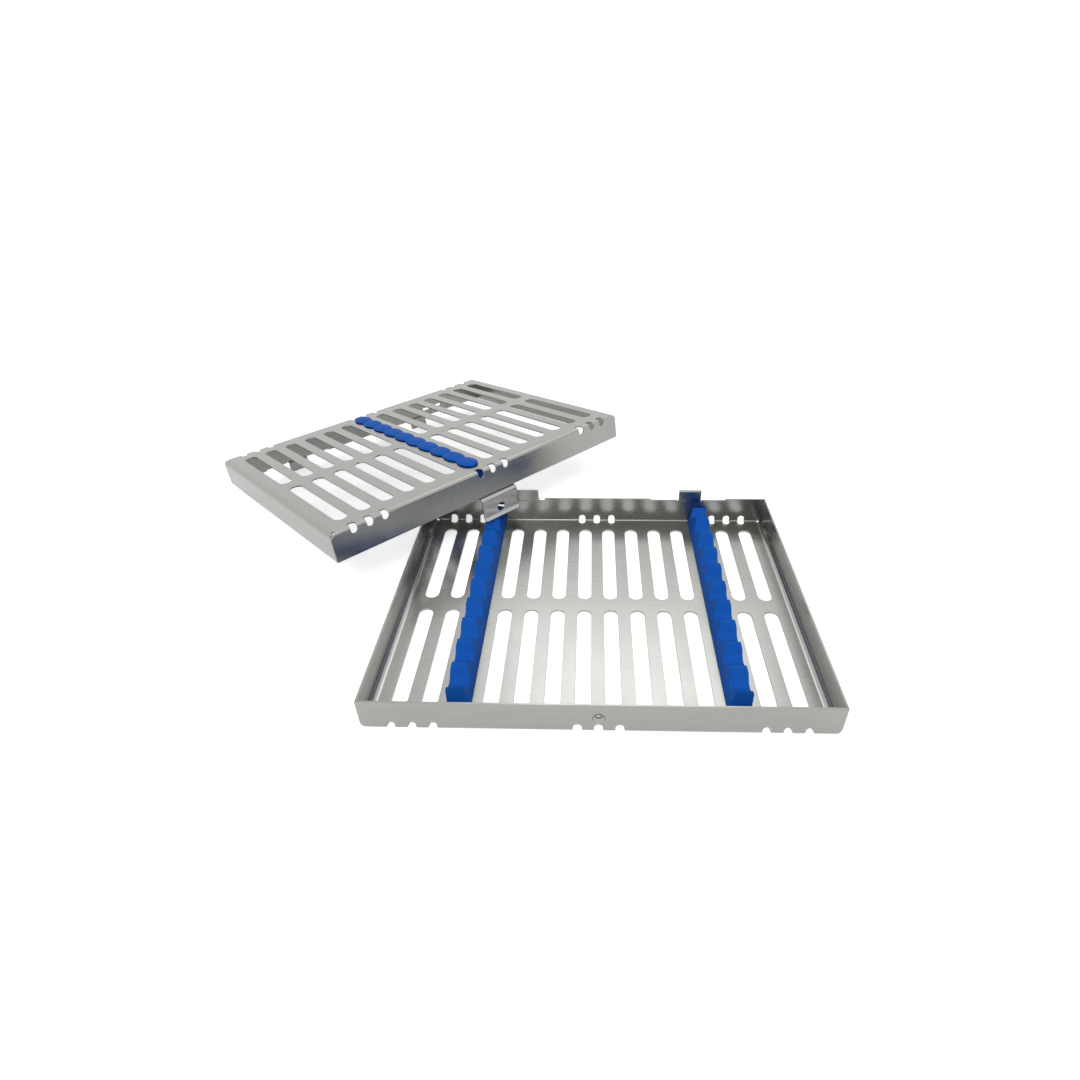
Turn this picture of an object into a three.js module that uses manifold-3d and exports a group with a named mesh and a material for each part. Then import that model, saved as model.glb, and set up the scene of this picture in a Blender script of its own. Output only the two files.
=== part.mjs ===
// Dental instrument cassette, shown open. Two slotted stainless trays, stamped and folded from
// one blank, close on each other as base and lid. The base carries two toothed silicone racks
// that hold the instruments apart, and the lid carries a silicone grip strip and a spring clip.
// The lid stands beside the base, turned and tilted, on its rear hook tabs and its clip.
// Millimetres, +Z up. The origin is the centre of the base tray's underside, +Y is its rear.

import * as THREE from 'three';
import { mergeVertices } from 'three/addons/utils/BufferGeometryUtils.js';
import Module from 'manifold-3d';

const wasm = await Module();
wasm.setup();

// One tray half, which base and lid share
const trayWidth = 180;
const trayDepth = 143;
const trayHeight = 14.5;
const sheet = 0.8;
const endBendRadius = 3.5;
const longBendRadius = 1.4;

// Long slots in the tray floor
const slotColumns = 14;
const slotWidth = 6.5;
const slotEndMargin = 11.6;
const slotSideMargin = 10.2;
const slotBridge = 7.8;

// Drain notches across both long bends
const notchWidth = 3.4;
const notchReach = 4;
const notchPitch = 8;
const notchCornerInset = 19.5;
const notchesPerGroup = 3;

// Corner relief holes and the open seams between end walls and long walls
const reliefHoleRadius = 0.9;
const reliefEndInset = 2.2;
const seamWidth = 0.3;

// Rear hook tabs, and the window that the other half's hook enters
const tabWidth = 11.8;
const tabHeight = 5.7;
const tabOneStart = 31.4;
const tabPairGap = 0.4;
const tabClearance = 0.3;
const tabCornerRadius = 1;
const hookCornerRadius = 0.3;
const joggleDrop = 1.5;
const joggleShoulder = 0.2;
const tabSlit = 0.4;
const hookReach = 0.9;
const hookRise = 4.3;
const windowLow = 4;
const windowHigh = 5.6;
const windowInnerPlay = 0.2;
const windowOuterPlay = 2.1;
const rimReliefDepth = 0.7;
const rimReliefInnerRun = 2.7;
const rimReliefOuterRun = 13.4;
const tabNotchWidth = 2.3;
const tabNotchOffset = 0.8;

// Silicone racks on the base floor
const rackColumn = 5;
const rackFootWidth = 9.2;
const rackTopWidth = 3.9;
const rackTopShift = 0.75;
const rackHeight = 10.85;
const rackFrontGap = 9.9;
const rackRearClearance = 0.3;
const rackLastCrestCut = 1.5;
const grooveCount = 10;
const grooveDepth = 4.8;
const grooveFlankAngle = THREE.MathUtils.degToRad(48);
const crestRadius = 1.1;
const rackOuterRound = 2;
const rackInnerRound = 1.2;
const rackFootEdge = 0.7;
const rackToeReach = 1.2;
const rackToeHeight = 2.4;
const rackToeEdge = 0.9;

// Silicone grip strip on the lid: a lobed head outside, keys in two slots and a ridged pad inside
const stripColumn = 1;
const lobeCount = 10;
const lobePitch = 13;
const lobeWidth = 10;
const neckWidth = 6.7;
const lobeRoundShare = 0.3;
const stripRearShift = 1;
const headEdge = 0.7;
const headCrown = 0.8;
const headCrease = 0.6;
const padRootWidth = 7.2;
const padFlankWidth = 6.8;
const padFlankHeight = 4.4;
const padTipWidth = 2;
const padTipRise = 0.6;
const padHeight = 8;

// Fit between silicone and steel
const keyClearance = 0.3;
const seatGap = 0.2;
const keyRecess = 0.1;

// Spring clip at the lid's front
const clipWidth = 22.7;
const clipSheet = 0.6;
const clipFlange = 6;
const clipClearance = 0.3;
const clipOuterGap = 0.8;
const clipReach = 13.4;
const clipShoulderRadius = 1.5;
const clipInnerBendRadius = 0.5;
const clipLipRun = 1.8;
const clipLipReach = 1.5;
const clipHoleRadius = 2.4;
const clipHoleDrop = 8.5;
const clipCornerRadius = 1.2;

// Pressed catch on the base's front wall, which the clip's hole snaps over
const catchClearance = 0.3;
const catchHeight = 1.4;
const catchWall = 0.55;

// How the open lid stands against the base
const lidYaw = THREE.MathUtils.degToRad(44.65);
const tabFloorGap = 0.05;
const clipRackGap = 0.3;
const clipTabClearance = 0.65;
const clipTabLap = 0.6;

// Cutters run past the faces that they open by this much
const overrun = 1;

// Facets: three.js doubles the count on an arc
const fineSteps = 3;
const coarseSteps = 2;
const domeSteps = 6;
const holeSides = 16;
const domeSides = 16;
const mergeTolerance = 1e-4;

const slotPitch = (trayWidth - 2 * slotEndMargin) / (slotColumns - 1);
const slotInner = slotBridge / 2;
const slotOuter = trayDepth / 2 - slotSideMargin;
const joggle = sheet + tabClearance;
const tabOneEnd = tabOneStart + tabWidth;
const tabTwoStart = tabOneEnd + tabPairGap;
const tabTwoEnd = tabTwoStart + tabWidth;
const rimGap = clipSheet + 2 * clipClearance;
const steelColour = 0xa9aba6;
const clipColour = 0xb4b6b1;
const siliconeColour = 0x1c58aa;

// Turns a closed three.js geometry into a solid that can be joined and cut
function solidOf(geometry) {
  const plain = geometry.clone();
  plain.deleteAttribute('normal');
  plain.deleteAttribute('uv');
  const merged = mergeVertices(plain, mergeTolerance);
  const vertProperties = Float32Array.from(merged.attributes.position.array);
  const triVerts = Uint32Array.from(merged.index.array);
  return new wasm.Manifold(new wasm.Mesh({ numProp: 3, vertProperties, triVerts }));
}

// Turns a finished solid back into a geometry for a mesh
function geometryOf(solid) {
  const mesh = solid.getMesh();
  const geometry = new THREE.BufferGeometry();
  geometry.setAttribute('position', new THREE.BufferAttribute(mesh.vertProperties, 3));
  geometry.setIndex(new THREE.BufferAttribute(mesh.triVerts, 1));
  geometry.computeVertexNormals();
  return geometry;
}

function extrude(shape, run, curveSegments) {
  return new THREE.ExtrudeGeometry(shape, { depth: run, bevelEnabled: false, curveSegments });
}

// A shape drawn in X and Y, standing from one height to another
function prismAlongZ(shape, low, high, steps = fineSteps) {
  const geometry = extrude(shape, high - low, steps);
  geometry.translate(0, 0, low);
  return solidOf(geometry);
}

// A shape drawn in X and Z, running from one depth to another
function prismAlongY(shape, low, high, steps = fineSteps) {
  const geometry = extrude(shape, high - low, steps);
  geometry.rotateX(Math.PI / 2);
  geometry.translate(0, high, 0);
  return solidOf(geometry);
}

// A shape drawn in Y and Z, running from one side to the other
function prismAlongX(shape, low, high, steps = fineSteps) {
  const geometry = extrude(shape, high - low, steps);
  const toX = new THREE.Vector3(1, 0, 0);
  const toY = new THREE.Vector3(0, 1, 0);
  const toZ = new THREE.Vector3(0, 0, 1);
  geometry.applyMatrix4(new THREE.Matrix4().makeBasis(toY, toZ, toX));
  geometry.translate(low, 0, 0);
  return solidOf(geometry);
}

// A block between two corners
function block(low, high) {
  const geometry = new THREE.BoxGeometry(high[0] - low[0], high[1] - low[1], high[2] - low[2]);
  geometry.translate((low[0] + high[0]) / 2, (low[1] + high[1]) / 2, (low[2] + high[2]) / 2);
  return solidOf(geometry);
}

function joined(solids) {
  return solids.reduce((whole, solid) => whole.add(solid));
}

// A rectangle with round ends, long in the second direction
function obround(centre, width, low, high) {
  const radius = width / 2;
  const shape = new THREE.Shape();
  shape.absarc(centre, low + radius, radius, Math.PI, 2 * Math.PI, false);
  shape.absarc(centre, high - radius, radius, 0, Math.PI, false);
  shape.closePath();
  return shape;
}

// The cross-section of a folded tray: a trough with bent lower corners
function trough(half, low, high, radius) {
  const shape = new THREE.Shape();
  shape.moveTo(-half, high);
  shape.lineTo(-half, low + radius);
  shape.absarc(-half + radius, low + radius, radius, Math.PI, 1.5 * Math.PI, false);
  shape.absarc(half - radius, low + radius, radius, 1.5 * Math.PI, 2 * Math.PI, false);
  shape.lineTo(half, high);
  shape.closePath();
  return shape;
}

// A plate outline whose two far corners are rounded
function roundedTop(low, high, bottom, top, radius) {
  const shape = new THREE.Shape();
  shape.moveTo(low, bottom);
  shape.lineTo(high, bottom);
  shape.lineTo(high, top - radius);
  shape.absarc(high - radius, top - radius, radius, 0, 0.5 * Math.PI, false);
  shape.absarc(low + radius, top - radius, radius, 0.5 * Math.PI, Math.PI, false);
  shape.closePath();
  return shape;
}

function columnX(column) {
  return (column - 0.5) * slotPitch;
}

// The folded shell before its slots: end walls on wide bends, long walls on tight ones
function foldedShell() {
  const across = trough(trayWidth / 2, 0, trayHeight, endBendRadius);
  const along = trough(trayDepth / 2, 0, trayHeight, longBendRadius);
  const outer = prismAlongY(across, -trayDepth / 2, trayDepth / 2)
    .intersect(prismAlongX(along, -trayWidth / 2, trayWidth / 2, coarseSteps));
  const top = trayHeight + overrun;
  const innerAcross = trough(trayWidth / 2 - sheet, sheet, top, endBendRadius - sheet);
  const innerAlong = trough(trayDepth / 2 - sheet, sheet, top, longBendRadius - sheet);
  const inner = prismAlongY(innerAcross, -trayDepth / 2, trayDepth / 2)
    .intersect(prismAlongX(innerAlong, -trayWidth / 2, trayWidth / 2, coarseSteps));
  return outer.subtract(inner);
}

// Two rows of long slots
function slotCutters() {
  const cutters = [];
  for (let column = 0; column < slotColumns; column += 1) {
    const x = slotEndMargin - trayWidth / 2 + column * slotPitch;
    cutters.push(prismAlongZ(obround(x, slotWidth, slotInner, slotOuter), -overrun, sheet + overrun));
    cutters.push(prismAlongZ(obround(x, slotWidth, -slotOuter, -slotInner), -overrun, sheet + overrun));
  }
  return cutters;
}

// One drain notch: an obround up the wall and an obround across the floor
function notchCutter(x, side) {
  const wallOutside = trayDepth / 2 + overrun;
  const wallInside = trayDepth / 2 - longBendRadius;
  const floorInside = trayDepth / 2 - notchReach;
  const upWall = obround(x, notchWidth, -overrun - notchWidth, notchReach);
  if (side > 0) {
    const floor = obround(x, notchWidth, floorInside, wallOutside + notchWidth);
    return prismAlongY(upWall, wallInside, wallOutside)
      .add(prismAlongZ(floor, -overrun, longBendRadius));
  }
  const floor = obround(x, notchWidth, -wallOutside - notchWidth, -floorInside);
  return prismAlongY(upWall, -wallOutside, -wallInside)
    .add(prismAlongZ(floor, -overrun, longBendRadius));
}

// Groups of three notches at the middle and near both ends of each long side
function notchCutters() {
  const cornerGroup = trayWidth / 2 - notchCornerInset;
  const cutters = [];
  for (const group of [-cornerGroup, 0, cornerGroup]) {
    for (let place = 0; place < notchesPerGroup; place += 1) {
      const x = group + (place - (notchesPerGroup - 1) / 2) * notchPitch;
      cutters.push(notchCutter(x, 1));
      cutters.push(notchCutter(x, -1));
    }
  }
  return cutters;
}

// The open seam at each corner, from its relief hole up to the rim
function cornerCutters() {
  const cutters = [];
  const holeX = trayWidth / 2 - reliefEndInset;
  const holeY = trayDepth / 2 - longBendRadius;
  const seamOuter = trayDepth / 2 - sheet;
  const seamInner = seamOuter - seamWidth;
  for (const sideX of [-1, 1]) {
    for (const sideY of [-1, 1]) {
      const hole = new THREE.CylinderGeometry(
        reliefHoleRadius, reliefHoleRadius, endBendRadius + overrun, holeSides);
      hole.rotateX(Math.PI / 2);
      hole.translate(sideX * holeX, sideY * holeY, (endBendRadius - overrun) / 2);
      const xs = [sideX * holeX, sideX * (trayWidth / 2 + overrun)].sort((a, b) => a - b);
      const ys = [sideY * seamInner, sideY * seamOuter].sort((a, b) => a - b);
      cutters.push(solidOf(hole));
      cutters.push(block([xs[0], ys[0], -overrun], [xs[1], ys[1], trayHeight + overrun]));
    }
  }
  return cutters;
}

// Cuts in the rear wall: tab roots with their slits, the hook window and the rim reliefs
function rearWallCutters() {
  const inside = trayDepth / 2 - sheet - overrun;
  const outside = trayDepth / 2 + overrun;
  const above = trayHeight + overrun;
  const root = trayHeight - joggleDrop;
  const notchEnd = tabNotchOffset - tabOneStart;
  return [
    block([-tabOneEnd - tabSlit, inside, root], [tabSlit - tabOneStart, outside, above]),
    block([tabTwoStart - tabSlit, inside, root], [tabTwoEnd + tabSlit, outside, above]),
    block(
      [-tabTwoEnd - windowOuterPlay, inside, trayHeight - windowHigh],
      [windowInnerPlay - tabTwoStart, outside, trayHeight - windowLow]),
    block(
      [tabOneStart - rimReliefInnerRun, inside, trayHeight - rimReliefDepth],
      [tabTwoEnd + rimReliefOuterRun, outside, above]),
    block([notchEnd, inside, root], [notchEnd + tabNotchWidth, outside, above]),
  ];
}

// A tab joggled inward by one sheet, so that it slides up inside the other half's wall
function rearTab(low, high, hooked) {
  const wallOuter = trayDepth / 2;
  const root = trayHeight - joggleDrop;
  const shoulder = trayHeight - joggleShoulder;
  const tip = trayHeight + tabHeight;
  const side = new THREE.Shape();
  side.moveTo(wallOuter - sheet, root - sheet);
  side.lineTo(wallOuter, root - sheet);
  side.lineTo(wallOuter, root);
  side.lineTo(wallOuter - joggle, shoulder);
  if (hooked) {
    const hookOuter = wallOuter - joggle + hookReach;
    side.lineTo(wallOuter - joggle, trayHeight + hookRise);
    side.lineTo(hookOuter, trayHeight + hookRise);
    side.lineTo(hookOuter, tip - hookReach / 2);
    side.lineTo(hookOuter - hookReach / 2, tip);
  } else {
    side.lineTo(wallOuter - joggle, tip);
  }
  side.lineTo(wallOuter - joggle - sheet, tip);
  side.lineTo(wallOuter - joggle - sheet, shoulder);
  side.lineTo(wallOuter - sheet, root);
  side.closePath();
  const radius = hooked ? hookCornerRadius : tabCornerRadius;
  const face = roundedTop(low, high, root - sheet - overrun, tip, radius);
  return prismAlongX(side, low, high)
    .intersect(prismAlongY(face, wallOuter - joggle - sheet - overrun, wallOuter + overrun, coarseSteps));
}

// The whole stamping, which serves as base and, turned over, as lid
function trayHalf() {
  const cutters = [
    ...slotCutters(), ...notchCutters(), ...cornerCutters(), ...rearWallCutters(),
  ];
  return foldedShell()
    .subtract(joined(cutters))
    .add(rearTab(-tabOneEnd, -tabOneStart, false))
    .add(rearTab(tabTwoStart, tabTwoEnd, true));
}

// The catch: a hollow dome pressed out of the front wall at the height of the clip's hole
function withCatch(tray) {
  const reach = clipHoleRadius - catchClearance;
  const ballRadius = (reach * reach + catchHeight * catchHeight) / (2 * catchHeight);
  const centreY = ballRadius - catchHeight - trayDepth / 2;
  const centreZ = trayHeight + rimGap - clipHoleDrop;
  const ball = new THREE.SphereGeometry(ballRadius, domeSides, domeSides / 2);
  ball.translate(0, centreY, centreZ);
  const hollow = new THREE.SphereGeometry(ballRadius - catchWall, domeSides, domeSides / 2);
  hollow.translate(0, centreY, centreZ);
  const wallMiddle = sheet / 2 - trayDepth / 2;
  const outside = block(
    [-ballRadius, wallMiddle - ballRadius, centreZ - ballRadius],
    [ballRadius, wallMiddle, centreZ + ballRadius]);
  return tray
    .add(solidOf(ball).intersect(outside))
    .subtract(solidOf(hollow));
}

// The rack's outline from the side: rounded crests with a groove between each pair
function rackSide(front, rear, floor) {
  const pitch = (rear + rackLastCrestCut - front) / grooveCount;
  const bendSum = (Math.tan(grooveFlankAngle) * pitch / 2 - grooveDepth)
    / (1 / Math.cos(grooveFlankAngle) - 1);
  const grooveRadius = bendSum - crestRadius;
  const crestCentre = rackHeight - crestRadius;
  const grooveCentre = rackHeight - grooveDepth + grooveRadius;
  const up = Math.PI / 2;
  const down = 1.5 * Math.PI;
  const shape = new THREE.Shape();
  shape.moveTo(front - rackToeReach, floor);
  shape.lineTo(front - rackToeReach, floor + rackToeEdge);
  shape.quadraticCurveTo(front, floor + rackToeEdge, front, floor + rackToeHeight);
  for (let groove = 0; groove < grooveCount; groove += 1) {
    const crest = front + groove * pitch;
    shape.absarc(crest, crestCentre, crestRadius, up, up - grooveFlankAngle, true);
    shape.absarc(crest + pitch / 2, grooveCentre, grooveRadius,
      down - grooveFlankAngle, down + grooveFlankAngle, false);
    shape.absarc(crest + pitch, crestCentre, crestRadius, up + grooveFlankAngle, up, true);
  }
  shape.lineTo(front + grooveCount * pitch, floor);
  shape.closePath();
  return shape;
}

// The rack's cross-section: upright on its outer side, leaning on its inner side
function rackSection(centre, outward, floor) {
  const footHalf = rackFootWidth / 2;
  const topOuter = rackTopShift + rackTopWidth / 2;
  const topInner = rackTopShift - rackTopWidth / 2;
  const at = (offset) => centre + outward * offset;
  const shape = new THREE.Shape();
  shape.moveTo(at(-footHalf), floor);
  shape.lineTo(at(footHalf), floor);
  shape.lineTo(at(footHalf), rackHeight - rackOuterRound);
  shape.quadraticCurveTo(at(footHalf), rackHeight, at(topOuter), rackHeight);
  shape.lineTo(at(topInner), rackHeight);
  shape.quadraticCurveTo(
    at(topInner - rackInnerRound / 2), rackHeight,
    at(topInner - rackInnerRound), rackHeight - rackInnerRound);
  shape.lineTo(at(-footHalf), floor + rackFootEdge);
  shape.closePath();
  return shape;
}

// Two keys that fill the slots of one column, from under the sheet up into the piece above it
function slotKeys(x, bottom, top) {
  const width = slotWidth - 2 * keyClearance;
  const inner = slotInner + keyClearance;
  const outer = slotOuter - keyClearance;
  return prismAlongZ(obround(x, width, inner, outer), bottom, top)
    .add(prismAlongZ(obround(x, width, -outer, -inner), bottom, top));
}

// One rack on the base floor, on the left with outward -1 or on the right with outward 1
function rack(outward) {
  const centre = outward * columnX(rackColumn);
  const floor = sheet;
  const front = rackFrontGap + sheet - trayDepth / 2;
  const rear = trayDepth / 2 - sheet - rackRearClearance;
  const halfWidth = rackFootWidth / 2 + overrun;
  const heel = longBendRadius - sheet + rackRearClearance;
  const body = prismAlongX(rackSide(front, rear, floor), centre - halfWidth, centre + halfWidth, coarseSteps);
  const bar = prismAlongY(rackSection(centre, outward, floor), front - rackToeReach, rear, coarseSteps);
  const heelCut = new THREE.Shape();
  heelCut.moveTo(rear - heel, floor);
  heelCut.lineTo(rear + overrun, floor + heel + overrun);
  heelCut.lineTo(rear + overrun, floor - overrun);
  heelCut.lineTo(rear - heel, floor - overrun);
  heelCut.closePath();
  return body
    .intersect(bar)
    .subtract(prismAlongX(heelCut, centre - halfWidth, centre + halfWidth))
    .add(slotKeys(centre, keyRecess, floor + rackFootEdge));
}

// The grip strip's head seen from above: a row of lobes that meet at narrow necks
function lobedOutline(x) {
  const half = lobeWidth / 2;
  const neck = neckWidth / 2;
  const round = (half - neck) * lobeRoundShare;
  const run = (lobePitch / 2) * lobeRoundShare;
  const first = stripRearShift - (lobeCount * lobePitch) / 2;
  const last = first + lobeCount * lobePitch;
  const shape = new THREE.Shape();
  shape.moveTo(x - neck / 2, first);
  shape.quadraticCurveTo(x, first - round, x + neck / 2, first);
  for (let lobe = 0; lobe < lobeCount; lobe += 1) {
    const middle = first + (lobe + 0.5) * lobePitch;
    if (lobe > 0) {
      shape.lineTo(x + neck, middle - lobePitch / 2);
    }
    shape.lineTo(x + half - round, middle - run);
    shape.quadraticCurveTo(x + half, middle, x + half - round, middle + run);
  }
  shape.lineTo(x + neck / 2, last);
  shape.quadraticCurveTo(x, last + round, x - neck / 2, last);
  for (let lobe = lobeCount - 1; lobe >= 0; lobe -= 1) {
    const middle = first + (lobe + 0.5) * lobePitch;
    shape.lineTo(x - half + round, middle + run);
    shape.quadraticCurveTo(x - half, middle, x - half + round, middle - run);
    if (lobe > 0) {
      shape.lineTo(x - neck, middle - lobePitch / 2);
    }
  }
  shape.closePath();
  return shape;
}

// The head from its side: every lobe is domed, with a crease across each neck
function headSide() {
  const first = stripRearShift - (lobeCount * lobePitch) / 2;
  const last = first + lobeCount * lobePitch;
  const top = -seatGap - headEdge - headCrown;
  const crease = top + headCrease;
  const shape = new THREE.Shape();
  shape.moveTo(first - overrun, -seatGap);
  shape.lineTo(first - overrun, crease);
  shape.lineTo(first, crease);
  for (let lobe = 0; lobe < lobeCount; lobe += 1) {
    const start = first + lobe * lobePitch;
    shape.quadraticCurveTo(start + lobePitch / 2, top - headCrease, start + lobePitch, crease);
  }
  shape.lineTo(last + overrun, crease);
  shape.lineTo(last + overrun, -seatGap);
  shape.closePath();
  return shape;
}

// The head's cross-section: flat against the sheet, gently crowned outside
function headSection(x) {
  const half = lobeWidth / 2;
  const edge = -seatGap - headEdge;
  const shape = new THREE.Shape();
  shape.moveTo(x - half, -seatGap);
  shape.lineTo(x + half, -seatGap);
  shape.lineTo(x + half, edge);
  shape.quadraticCurveTo(x, edge - 2 * headCrown, x - half, edge);
  shape.closePath();
  return shape;
}

// The pad inside: a bar that narrows to a round ridge, which presses on the instruments
function padSection(x) {
  const root = padRootWidth / 2;
  const flank = padFlankWidth / 2;
  const tip = padTipWidth / 2;
  const low = sheet + seatGap;
  const turn = low + padFlankHeight;
  const high = low + padHeight;
  const shape = new THREE.Shape();
  shape.moveTo(x - root, low);
  shape.lineTo(x + root, low);
  shape.lineTo(x + flank, turn);
  shape.lineTo(x + tip, high - padTipRise);
  shape.quadraticCurveTo(x, high + padTipRise, x - tip, high - padTipRise);
  shape.lineTo(x - flank, turn);
  shape.closePath();
  return shape;
}

// The grip strip, drawn in the frame of the tray that carries it
function gripStrip() {
  const x = columnX(stripColumn);
  const low = stripRearShift - (lobeCount * lobePitch) / 2 - overrun;
  const high = stripRearShift + (lobeCount * lobePitch) / 2 + overrun;
  const headDepth = seatGap + headEdge + headCrown + overrun;
  const head = prismAlongZ(lobedOutline(x), -headDepth, -seatGap, coarseSteps)
    .intersect(prismAlongY(headSection(x), low, high, fineSteps))
    .intersect(prismAlongX(headSide(), x - lobeWidth, x + lobeWidth, domeSteps));
  const pad = prismAlongY(padSection(x), -slotOuter, slotOuter, fineSteps);
  const inHead = -seatGap - headEdge / 2;
  const inPad = sheet + seatGap + headEdge;
  return joined([head, slotKeys(x, inHead, inPad), pad]);
}

// The clip's outline from the side: down inside the wall, out under the rim, down outside
// it and out again in a lip, in the lid's own frame with its rim at height 0
function clipSide() {
  const innerFace = sheet + clipClearance - trayDepth / 2;
  const outerFace = -trayDepth / 2 - clipOuterGap;
  const under = -clipClearance;
  const lipStart = clipLipRun - clipReach;
  const outer = clipShoulderRadius + clipSheet;
  const shape = new THREE.Shape();
  shape.moveTo(innerFace, clipFlange);
  shape.lineTo(innerFace, under);
  shape.lineTo(outerFace + clipShoulderRadius - clipSheet, under);
  shape.absarc(outerFace + clipShoulderRadius - clipSheet, under - outer + clipSheet / 2,
    outer - clipSheet / 2, 0.5 * Math.PI, Math.PI, false);
  shape.lineTo(outerFace - clipSheet, lipStart);
  shape.lineTo(outerFace - clipSheet - clipLipReach, -clipReach + clipSheet / 2);
  shape.lineTo(outerFace - clipSheet - clipLipReach + clipSheet / 2, -clipReach);
  shape.lineTo(outerFace, lipStart - clipSheet / 2);
  shape.lineTo(outerFace, under - outer);
  shape.quadraticCurveTo(outerFace, under - clipSheet,
    outerFace + clipInnerBendRadius, under - clipSheet);
  shape.lineTo(innerFace + clipSheet - clipInnerBendRadius, under - clipSheet);
  shape.quadraticCurveTo(innerFace + clipSheet, under - clipSheet,
    innerFace + clipSheet, under - clipSheet + clipInnerBendRadius);
  shape.lineTo(innerFace + clipSheet, clipFlange);
  shape.closePath();
  return shape;
}

// The spring clip: the bent strip with rounded corners and a hole for the catch
function springClip() {
  const half = clipWidth / 2;
  const front = -trayDepth / 2 - clipOuterGap - clipSheet - clipLipReach - overrun;
  const back = sheet - trayDepth / 2 + clipClearance + clipSheet + overrun;
  const outline = new THREE.Shape();
  outline.moveTo(-half, clipFlange + overrun);
  outline.lineTo(-half, clipCornerRadius - clipReach);
  outline.absarc(clipCornerRadius - half, clipCornerRadius - clipReach, clipCornerRadius,
    Math.PI, 1.5 * Math.PI, false);
  outline.absarc(half - clipCornerRadius, clipCornerRadius - clipReach, clipCornerRadius,
    1.5 * Math.PI, 2 * Math.PI, false);
  outline.lineTo(half, clipFlange + overrun);
  outline.closePath();
  const hole = new THREE.CylinderGeometry(clipHoleRadius, clipHoleRadius, back - front, 2 * holeSides);
  hole.translate(0, (front + back) / 2, -clipHoleDrop);
  return prismAlongX(clipSide(), -half, half, fineSteps)
    .intersect(prismAlongY(outline, front, back, coarseSteps))
    .subtract(solidOf(hole));
}

// The tilt and height of the lid that stands on its rear hooks and on its clip's lip
function lidStance() {
  const hookY = trayDepth / 2 - joggle + hookReach;
  const lipY = -trayDepth / 2 - clipOuterGap - clipSheet - clipLipReach;
  const acrossRun = hookY - lipY;
  const downRun = tabHeight - clipReach;
  const rise = rackHeight + clipRackGap - tabFloorGap;
  const tilt = Math.asin(rise / Math.hypot(acrossRun, downRun)) - Math.atan2(downRun, acrossRun);
  const height = tabFloorGap + hookY * Math.sin(tilt) + tabHeight * Math.cos(tilt);
  return { tilt, height };
}

// Places the lid so that its clip's right edge passes in front of the base's plain tab
function placeLid(lid) {
  const { tilt, height } = lidStance();
  const turn = new THREE.Euler(-tilt, 0, lidYaw, 'ZXY');
  const clipEdge = new THREE.Vector3(
    clipWidth / 2, -trayDepth / 2 - clipOuterGap - clipSheet, -clipReach / 2);
  clipEdge.applyEuler(turn);
  const edgeX = clipTabLap - tabOneEnd;
  const edgeY = trayDepth / 2 - joggle - sheet - clipTabClearance;
  lid.rotation.copy(turn);
  lid.position.set(edgeX - clipEdge.x, edgeY - clipEdge.y, height);
}

function named(name, solid, color, metalness, roughness) {
  const material = new THREE.MeshStandardMaterial({ color, metalness, roughness });
  const mesh = new THREE.Mesh(geometryOf(solid), material);
  mesh.name = name;
  return mesh;
}

// Lays a piece drawn in the tray's frame over, open side down, with its rim at height 0
function turnedOver(mesh) {
  mesh.rotation.y = Math.PI;
  mesh.position.z = trayHeight;
  return mesh;
}

const tray = trayHalf();

const cassette = new THREE.Group();
cassette.add(named('base_tray', withCatch(tray), steelColour, 1, 0.35));
cassette.add(named('rack_left', rack(-1), siliconeColour, 0, 0.55));
cassette.add(named('rack_right', rack(1), siliconeColour, 0, 0.55));

const lid = new THREE.Group();
lid.add(turnedOver(named('lid_tray', tray, steelColour, 1, 0.35)));
lid.add(turnedOver(named('lid_grip_strip', gripStrip(), siliconeColour, 0, 0.55)));
lid.add(named('latch_clip', springClip(), clipColour, 1, 0.3));
placeLid(lid);
cassette.add(lid);

export default cassette;
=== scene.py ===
"""A dental instrument cassette, open: slotted stainless base and lid, silicone racks, spring clip.

Every sheet part is drawn as its flat stamped blank and folded here, as the press brake does it, and
the silicone parts are swept and shaped by geometry nodes. Sizes are in millimetres in the classes
and become metres in the meshes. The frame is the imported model's: origin at the centre of the base
tray's underside, +X right, +Y to its rear wall, +Z up.
"""
import logging
import math
from dataclasses import dataclass, field
from enum import Enum
from typing import Callable, ClassVar, Dict, Iterable, List, Optional, Sequence, Tuple, Union

import bmesh
import bpy
from mathutils import Euler, Matrix, Vector
from mathutils.geometry import delaunay_2d_cdt


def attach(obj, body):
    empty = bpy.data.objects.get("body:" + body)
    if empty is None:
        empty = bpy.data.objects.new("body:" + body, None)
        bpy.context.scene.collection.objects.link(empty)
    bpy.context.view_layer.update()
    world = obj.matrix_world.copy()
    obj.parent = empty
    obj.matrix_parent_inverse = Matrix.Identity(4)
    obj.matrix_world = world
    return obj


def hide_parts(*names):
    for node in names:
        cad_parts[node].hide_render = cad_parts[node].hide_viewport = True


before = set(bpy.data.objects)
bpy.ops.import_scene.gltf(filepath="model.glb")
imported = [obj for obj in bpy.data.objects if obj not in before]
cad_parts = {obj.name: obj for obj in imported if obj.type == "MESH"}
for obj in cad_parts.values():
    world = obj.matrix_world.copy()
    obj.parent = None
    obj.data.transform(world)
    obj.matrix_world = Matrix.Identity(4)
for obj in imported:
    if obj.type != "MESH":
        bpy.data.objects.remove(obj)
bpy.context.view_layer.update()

logging.basicConfig(level=logging.INFO, format="%(levelname)s %(message)s")
log = logging.getLogger("cassette")

MM = 0.001
WHITE = "FFFFFF"

# Points of a flat blank that are nearer than this, in millimetres, are one point.
BLANK_TOLERANCE = 1e-5
# The least divisor of a mitre, which keeps a sharp corner from being drawn out into a spike.
LEAST_MITRE = 0.4
# Vertices of a finished mesh that are nearer than this, in metres, are merged.
MERGE_DISTANCE = 1e-7
# How much the faces' areas count in the shading, in per cent.
AREA_WEIGHT = 80

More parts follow.
